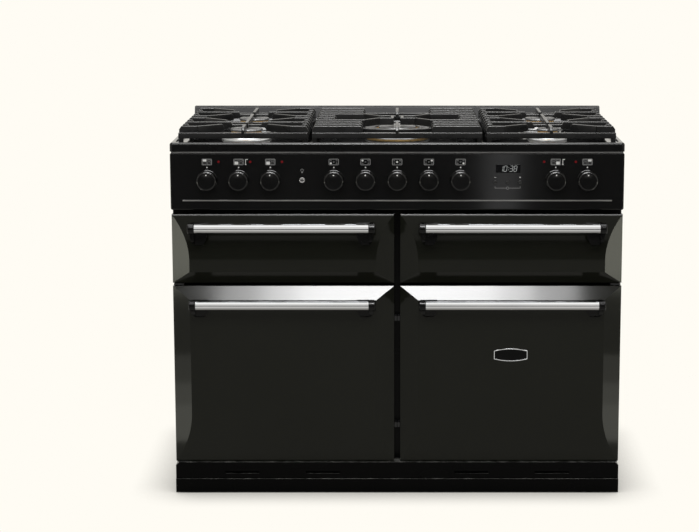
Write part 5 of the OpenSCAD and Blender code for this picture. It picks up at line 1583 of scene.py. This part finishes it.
# %% Build the middle burner
WOK_FLOOR_RISE = 3 * MM
WOK_BORE, WOK_RING_IN = 14 * MM, 4 * MM
WOK_RING_T, INNER_RING_T, BAND_TOP = 6 * MM, 7 * MM, 10.5 * MM
OUTER_PORTS, INNER_PORTS = 36, 24
WOK_FLANGE_ROWS = ((8.0, 0.0), (8.0, 3.2), (7.2, 4.0), (-1.0, 4.0))
WOK_WALL_ROWS = ((-2.0, 0.8), (-2.8, 0.0))
BAND_EDGE, BAND_LAP = 0.6 * MM, 1 * MM
BAND_ROWS = ((0.0, 2.2), (-0.6, 0.9), (-1.8, 0.2), (-3.0, 0.0))
INNER_BAND_ROWS = ((1.4, 0.0), (0.4, 0.4), (0.0, 1.4))
WOK_CAP_T, WOK_CAP_EDGE = 5 * MM, 2.2 * MM
centre = (0.0, panel_y + MID_BURNER)
wok_z = hob_floor + FLANGE_T + WOK_FLOOR_RISE
cup = [(WOK_R + out * MM, hob_floor + rise * MM) for out, rise in WOK_FLANGE_ROWS]
cup += [(WOK_R + out * MM, wok_z - down * MM) for out, down in WOK_WALL_ROWS]
turned(cups, centre, cup + [(WOK_BORE, wok_z)], 96)
inner_r = WOK_R - WOK_BAND
flame_ring(flames, centre, WOK_R - WOK_RING_IN, inner_r + BAND_LAP, wok_z,
           WOK_RING_T, OUTER_PORTS)
flame_ring(flames, centre, WOK_CAP_R - WOK_RING_IN, WOK_BORE, wok_z, INNER_RING_T, INNER_PORTS)
band_low, band_high = wok_z + WOK_RING_T, wok_z + BAND_TOP
band = [(inner_r, band_low), (WOK_R - BAND_EDGE, band_low), (WOK_R, band_low + BAND_EDGE)]
band += [(WOK_R + out * MM, band_high - down * MM) for out, down in BAND_ROWS]
band += [(inner_r + out * MM, band_high - down * MM) for out, down in INNER_BAND_ROWS]
turned(caps, centre, band, 96, closed=True)
cap(caps, centre, WOK_CAP_R, wok_z + INNER_RING_T, WOK_CAP_T, edge=WOK_CAP_EDGE)
print("middle burner built, its floor at", round(wok_z, 4))

# %% Join the burner parts
new_piece("burner_cups", cups, "chassis", burner_aluminium, angle=40.0,
          replaces=("burner_bases",))
new_piece("flame_rings", flames, "chassis", burner_brass, angle=25.0,
          replaces=("burner_rings",))
new_piece("caps", caps, "chassis", cap_enamel, angle=50.0,
          replaces=("burner_caps",))
print("burner parts joined")

# %% [markdown]
# Beside each burner stand two short posts of white ceramic: one holds the tip that makes
# the spark, the other a tip that feels whether the flame burns. The middle burner has its
# posts hidden under the edge, so only their ceramic is made.

# %% Stand the electrodes
IGNITER_GAP, WOK_IGNITER_GAP = 14 * MM, 1 * MM
POST_ROWS = ((2.6, 0.0), (2.6, 10.5), (2.0, 11.5), (1.3, 12.0))
TIP_ROWS = ((0.9, 11.5), (0.9, 17.2), (0.5, 18.0))
SHORT_POST_ROWS = ((2.6, 0.0), (2.6, 5.4), (2.0, 6.0))


def stand(form, spot, rows, count):
    """Turn rows of radius and height, in mm, that stand on the hob floor."""
    turned(form, spot, [(radius * MM, hob_floor + rise * MM) for radius, rise in rows], count)


posts, tips = Form(), Form()
for side, depth, radius in BURNERS:
    for way in (-1, 1):
        spot = (side * burner_x + way * (radius + IGNITER_GAP), panel_y + depth)
        stand(posts, spot, POST_ROWS, 24)
        stand(tips, spot, TIP_ROWS, 16)
for way in (-1, 1):
    stand(posts, (way * (WOK_R + WOK_IGNITER_GAP), panel_y + MID_BURNER), SHORT_POST_ROWS, 24)
new_piece("electrode_posts", posts, "chassis", electrode_ceramic, angle=40.0,
          replaces=("igniters",))
new_piece("electrode_tips", tips, "chassis", element_steel, angle=40.0)
print("electrodes stand")

# %% [markdown]
# ## Pan supports
# Cast iron has draft: a bar is a little narrower at its top, so that the pattern can be
# lifted out of the sand, and all its edges are rounded. Each bar here is a four-sided
# section that is carried along a line, with a list of heights for its top and another for
# its underside. A bevel then rounds the edges, and these catch the light.

# %% Write the casting helpers
SUPPORT_RISE = 33.5 * MM
SUPPORT_TOP = hob_top + SUPPORT_RISE
CAST_W, CAST_H, DRAFT = 8.5 * MM, 18 * MM, 0.5 * MM
BAR_LOW = SUPPORT_TOP - CAST_H
RAIL_W, RAIL_H = 11 * MM, 14 * MM
RAIL_TOP = BAR_LOW + 4 * MM
RAIL_LOW = RAIL_TOP - RAIL_H
FRONT_RAIL = 35 * MM
FIRST_BAR, BAR_PITCH = 60.7 * MM, 48 * MM


def bar_at(k):
    """Depth of bar number k behind the control panel."""
    return FIRST_BAR + k * BAR_PITCH


FRAME_END = bar_at(9) + CAST_W / 2 + RAIL_W


def level_at(points, distance):
    """Height of a list of distance and height pairs at a distance."""
    for (d0, h0), (d1, h1) in zip(points, points[1:]):
        if distance <= d1:
            return h0 + (h1 - h0) * max(0.0, distance - d0) / (d1 - d0)
    return points[-1][1]


def shaped_bar(form, start, end, tops, lows):
    """A bar along a line, with distance and height pairs for its top and its underside."""
    run = Vector(end) - Vector(start)
    along = run.normalized()
    across_bar = Vector((-along.y, along.x))
    foot, crest = CAST_W / 2, CAST_W / 2 - DRAFT
    rings = []
    for distance in sorted({d for d, h in tops} | {d for d, h in lows}):
        spot = Vector(start) + along * distance
        ring = []
        for offset, points in ((-foot, lows), (foot, lows), (crest, tops), (-crest, tops)):
            place = spot + across_bar * offset
            ring.append((place.x, panel_y + place.y, level_at(points, distance)))
        rings.append(ring)
    form.loft(rings)


END_SLOPE = 0.7


def cast_bar(form, start, end, drop_a, drop_b):
    """A straight bar whose ends slope down by the given drops."""
    length = (Vector(end) - Vector(start)).length
    tops = [(0.0, SUPPORT_TOP - drop_a)]
    if drop_a:
        tops.append((drop_a * END_SLOPE, SUPPORT_TOP))
    if drop_b:
        tops.append((length - drop_b * END_SLOPE, SUPPORT_TOP))
    tops.append((length, SUPPORT_TOP - drop_b))
    shaped_bar(form, start, end, tops, [(0.0, BAR_LOW), (length, BAR_LOW)])


print("casting helpers ready, supports up to", round(SUPPORT_TOP, 4))

# %% Write the frame of a support
RAIL_DRAFT = 0.4 * MM
FOOT_R, FOOT_TAPER, FOOT_OVER = 6.5 * MM, 1.2 * MM, 2 * MM


def cast_frame(form, cx, half):
    """The lower frame with its six feet."""
    corners = []
    for shrink, z in ((0.0, RAIL_LOW), (RAIL_DRAFT, RAIL_TOP),
                      (RAIL_W - RAIL_DRAFT, RAIL_TOP), (RAIL_W, RAIL_LOW)):
        x0, x1 = cx - half + shrink, cx + half - shrink
        y0, y1 = panel_y + FRONT_RAIL + shrink, panel_y + FRAME_END - shrink
        corners.append([(x0, y0, z), (x1, y0, z), (x1, y1, z), (x0, y1, z)])
    form.loft(corners, closed=True)
    for x in (cx - half + FOOT_R, cx + half - FOOT_R):
        for depth in (FRONT_RAIL + FOOT_R, (FRONT_RAIL + FRAME_END) / 2, FRAME_END - FOOT_R):
            turned(form, (x, panel_y + depth), [(FOOT_R - FOOT_TAPER, hob_floor),
                                                (FOOT_R, RAIL_LOW + FOOT_OVER)], 24)


print("frame runs to", round(FRAME_END, 4))

# %% [markdown]
# A side support carries pans over two burners. Fingers run in from both sides and bend
# towards each burner, with short stubs between them. A bar right across each burner is
# lowered over it and relieved above its cap, and short bars run in from the front and back.

# %% Write the bars of a side support
SIDE_W = 313 * MM
SIDE_HALF = SIDE_W / 2
BEND = 44 * MM
FINGER_GAP = 68 * MM
BEND_OVERLAP = 1 * MM
LOW_STEP, STEP_RUN = 6.5 * MM, 3 * MM
CROSS_HALF = 36 * MM
CAP_CLEAR, CAP_RELIEF, RELIEF_RUN = 4 * MM, 5 * MM, 2 * MM
OUTER_DROP, INNER_DROP = 8 * MM, 6 * MM


def claw_finger(form, cx, side, k, burner_depth):
    """A finger that runs in from the side and turns towards a burner."""
    out = SIDE_HALF - BEND
    rise = bar_at(k) - burner_depth
    reach = FINGER_GAP / math.hypot(out, rise)
    cast_bar(form, (cx + side * SIDE_HALF, bar_at(k)),
             (cx + side * (out - BEND_OVERLAP), bar_at(k)), OUTER_DROP, 0.0)
    cast_bar(form, (cx + side * out, bar_at(k)),
             (cx + side * out * reach, burner_depth + rise * reach), 0.0, INNER_DROP)


def cross_bar(form, cx, k, cap_radius):
    """A bar right across, lowered over the burner and relieved above the cap."""
    middle, length = SIDE_HALF, SIDE_W
    low_top = SUPPORT_TOP - LOW_STEP
    clear = cap_radius + CAP_CLEAR
    slope = OUTER_DROP * END_SLOPE
    tops = [(0.0, SUPPORT_TOP - OUTER_DROP), (slope, SUPPORT_TOP),
            (middle - CROSS_HALF - STEP_RUN, SUPPORT_TOP), (middle - CROSS_HALF, low_top),
            (middle + CROSS_HALF, low_top), (middle + CROSS_HALF + STEP_RUN, SUPPORT_TOP),
            (length - slope, SUPPORT_TOP), (length, SUPPORT_TOP - OUTER_DROP)]
    lows = [(0.0, BAR_LOW), (middle - clear - RELIEF_RUN, BAR_LOW),
            (middle - clear, BAR_LOW + CAP_RELIEF), (middle + clear, BAR_LOW + CAP_RELIEF),
            (middle + clear + RELIEF_RUN, BAR_LOW), (length, BAR_LOW)]
    shaped_bar(form, (cx - SIDE_HALF, bar_at(k)), (cx + SIDE_HALF, bar_at(k)), tops, lows)


print("side supports are", round(SIDE_W, 4), "wide")

# %% Cast the side supports
CAST_EDGE, CAST_ANGLE = 1.3 * MM, 28.0
STUB = 20 * MM
SPINE_IN, SPINE_SHRINK = 5 * MM, 0.3 * MM
FRONT_SPINE_GAP, MIDDLE_SPINE_GAP = FINGER_GAP * 0.65, 49 * MM
MIDDLE_SPINE_START, REAR_SPINE_START = bar_at(2) - 17 * MM, bar_at(7) - 6 * MM
CLAWS = ((0, FRONT_BURNER), (4, FRONT_BURNER), (5, REAR_BURNER), (9, REAR_BURNER))
STUBS = (1, 3, 6, 8)


def side_support(name, node, cx, front_cap, rear_cap):
    """The casting over the front and rear burner of one side."""
    form = Form()
    cast_frame(form, cx, SIDE_HALF)
    middle = bar_at(4.5)
    form.block((cx - SIDE_HALF + SPINE_IN, panel_y + middle - RAIL_W / 2,
                RAIL_LOW + SPINE_SHRINK),
               (cx + SIDE_HALF - SPINE_IN, panel_y + middle + RAIL_W / 2,
                RAIL_TOP - SPINE_SHRINK))
    for side in (-1, 1):
        for k, burner in CLAWS:
            claw_finger(form, cx, side, k, burner)
        for k in STUBS:
            cast_bar(form, (cx + side * SIDE_HALF, bar_at(k)),
                     (cx + side * (SIDE_HALF - STUB), bar_at(k)), OUTER_DROP, INNER_DROP)
    cross_bar(form, cx, 2, front_cap)
    cross_bar(form, cx, 7, rear_cap)
    cast_bar(form, (cx, FRONT_RAIL), (cx, FRONT_BURNER - FRONT_SPINE_GAP),
             OUTER_DROP, INNER_DROP)
    cast_bar(form, (cx, MIDDLE_SPINE_START), (cx, REAR_BURNER - MIDDLE_SPINE_GAP),
             0.0, INNER_DROP)
    cast_bar(form, (cx, REAR_SPINE_START), (cx, FRAME_END), 0.0, OUTER_DROP)
    return new_piece(name, form, "chassis", cast_iron, bevel=CAST_EDGE, segments=2,
                     angle=CAST_ANGLE, replaces=(node,))


side_support("left_support", "pan_support_left", -burner_x, LARGE_R, MEDIUM_R)
side_support("right_support", "pan_support_right", burner_x, SMALL_R, MEDIUM_R)
print("side supports cast")

# %% [markdown]
# The middle support has a ring below its bars, round the large burner. At each side six
# long bars run in beside the burner and two short ones end at the ring. The two bars
# between them turn in over the burner, where a short bar joins their tips.

# %% Cast the middle support
SUPPORT_GAP, RING_IN_FRAME = 10 * MM, 46 * MM
MID_HALF = burner_x - SIDE_HALF - SUPPORT_GAP
RING_R = MID_HALF - RING_IN_FRAME
BAR_END = WOK_R + 2 * MM
FINGER_END = WOK_R + 35 * MM
CLAW_X, CLAW_Y, CLAW_TIP, CLAW_OVERLAP = 45 * MM, 27 * MM, 8 * MM, 2 * MM
LONG_BARS, RING_BARS, CLAW_BARS = (0, 1, 2, 7, 8, 9), (4, 5), ((-1, 3), (1, 6))
middle_form = Form()
cast_frame(middle_form, 0.0, MID_HALF)
turned(middle_form, (0.0, panel_y + MID_BURNER),
       [(RING_R - RAIL_W / 2, RAIL_LOW), (RING_R + RAIL_W / 2, RAIL_LOW),
        (RING_R + RAIL_W / 2, RAIL_TOP - SPINE_SHRINK),
        (RING_R - RAIL_W / 2, RAIL_TOP - SPINE_SHRINK)], 128, closed=True)
for side in (-1, 1):
    for k in LONG_BARS:
        cast_bar(middle_form, (side * MID_HALF, bar_at(k)), (side * BAR_END, bar_at(k)),
                 OUTER_DROP, INNER_DROP)
    for k in RING_BARS:
        cast_bar(middle_form, (side * MID_HALF, bar_at(k)),
                 (side * (RING_R - RAIL_W / 2), bar_at(k)), OUTER_DROP, INNER_DROP)
    for way, k in CLAW_BARS:
        depth = MID_BURNER + way * CLAW_Y
        cast_bar(middle_form, (side * MID_HALF, bar_at(k)),
                 (side * (BAR_END - CLAW_OVERLAP), bar_at(k)), OUTER_DROP, 0.0)
        cast_bar(middle_form, (side * BAR_END, bar_at(k)), (side * CLAW_X, depth), 0.0, 0.0)
        cast_bar(middle_form, (side * (CLAW_X + CLAW_OVERLAP), depth),
                 (side * CLAW_TIP, depth), 0.0, 0.0)
    tip_x = side * (CLAW_TIP + CAST_W / 2)
    cast_bar(middle_form, (tip_x, MID_BURNER - CLAW_Y), (tip_x, MID_BURNER + CLAW_Y), 0.0, 0.0)
cast_bar(middle_form, (0.0, FRONT_RAIL), (0.0, MID_BURNER - FINGER_END),
         OUTER_DROP, INNER_DROP)
cast_bar(middle_form, (0.0, MID_BURNER + FINGER_END), (0.0, FRAME_END),
         INNER_DROP, OUTER_DROP)
new_piece("middle_support", middle_form, "chassis", cast_iron, bevel=CAST_EDGE, segments=2,
          angle=CAST_ANGLE, replaces=("pan_support_centre",))
print("middle support cast")

# %% [markdown]
# ## Sheet metal and inner parts
# The base, plinth, side sheets, linings and inner parts keep the shapes of the packed
# model. They get a bevel, so that each folded edge catches a line of light. Behind the
# slots of the base rail lie black blocks that paint the shade inside the base.

# %% Soften the folded edges
FOLDED = {"base_frame": 1.5, "plinth": 1.5, "side_panels": 0.8, "back_panel": 0.6,
          "front_frame": 0.6, "rear_upstand": 1.0, "oven_liners": 1.0, "upper_chambers": 0.6,
          "left_door_liner": 1.6, "right_door_liner": 1.6, "grill_carriage": 0.6,
          "drawer_box": 0.8, "grill_pan": 1.0, "fan_covers": 0.8, "hinges_and_catches": 0.6}
for name, width in FOLDED.items():
    add_bevel(node_objects[name], width * MM)
print("edges softened:", len(FOLDED))

# %% Place the painted shade behind the slots
SLOT_W, SLOT_PLACES, SLOT_LEVEL = 83 * MM, (-0.7, -0.336, 0.336, 0.7), 0.38
SHADE_MORE, SHADE_FRONT, SHADE_BACK, SHADE_HALF = 4 * MM, 3 * MM, 40 * MM, 8 * MM
# Dark blocks behind the slots paint the shade inside the base.
shade_blocks = Form()
slot_z = rail_low.z + (rail_high.z - rail_low.z) * SLOT_LEVEL
for share in SLOT_PLACES:
    x = share * half_w
    shade_blocks.block((x - SLOT_W / 2 - SHADE_MORE, rail_low.y + SHADE_FRONT, slot_z - SHADE_HALF),
                (x + SLOT_W / 2 + SHADE_MORE, rail_low.y + SHADE_BACK, slot_z + SHADE_HALF))
new_piece("air_ducts", shade_blocks, "chassis", slot_shade_black, bevel=1 * MM)
print("slot shade blocks placed:", len(SLOT_PLACES))

# %% [markdown]
# ## Which box lights what
# The boxes that show in dark enamel have to be strong. On chrome they would burn out, so
# light linking leaves the polished parts, the aluminium cups and the red lamps out of what
# these boxes light. The chrome has a mild box of its own, and the slim box by the clock
# lights the panel alone.

# %% Link the boxes to their pieces
def receivers(lamp, pieces):
    """Make a collection of pieces that decides what a lamp lights."""
    group = bpy.data.collections.new(lamp.name + "_receivers")
    for piece in pieces:
        group.objects.link(piece)
    lamp.light_linking.receiver_collection = group
    return group


def keep_off(lamp, pieces):
    """A lamp lights all but these pieces."""
    for entry in receivers(lamp, pieces).collection_objects:
        entry.light_linking.link_state = "EXCLUDE"


def made_of(*materials):
    """The pieces that have one of these materials."""
    return [o for o in bpy.data.objects
            if o.type == "MESH" and any(m in materials for m in o.data.materials)]


polished = made_of(handle_chrome, button_chrome, trim_silver)
for lamp in strips + [line_box, edge_box]:
    keep_off(lamp, polished + made_of(burner_aluminium, lamp_red))
keep_off(hob_box, polished)
receivers(chrome_box, polished)
receivers(panel_box, [panel])
print("polished pieces:", len(polished))

# %% [markdown]
# ## Finish
# The pieces that kept their imported shape still have plain colours. The record names a
# finish for each of them, apart from four sheets of the outside that take one of their own.

# %% Give the imported pieces their finishes
OWN_FINISH = {"front_frame": black_enamel, "rear_upstand": rear_enamel,
              "plinth": plinth_enamel, "base_frame": plinth_enamel}
slot_of = {part["node"]: part["material_slot"] for part in frame["record"]["subparts"]}
dressed = []
for name, node in node_objects.items():
    if not node.hide_render:
        material = OWN_FINISH.get(name) or bpy.data.materials.get(slot_of.get(name))
        if material:
            node.data.materials.clear()
            node.data.materials.append(material)
            dressed.append(name)
print("packed pieces dressed:", len(dressed))
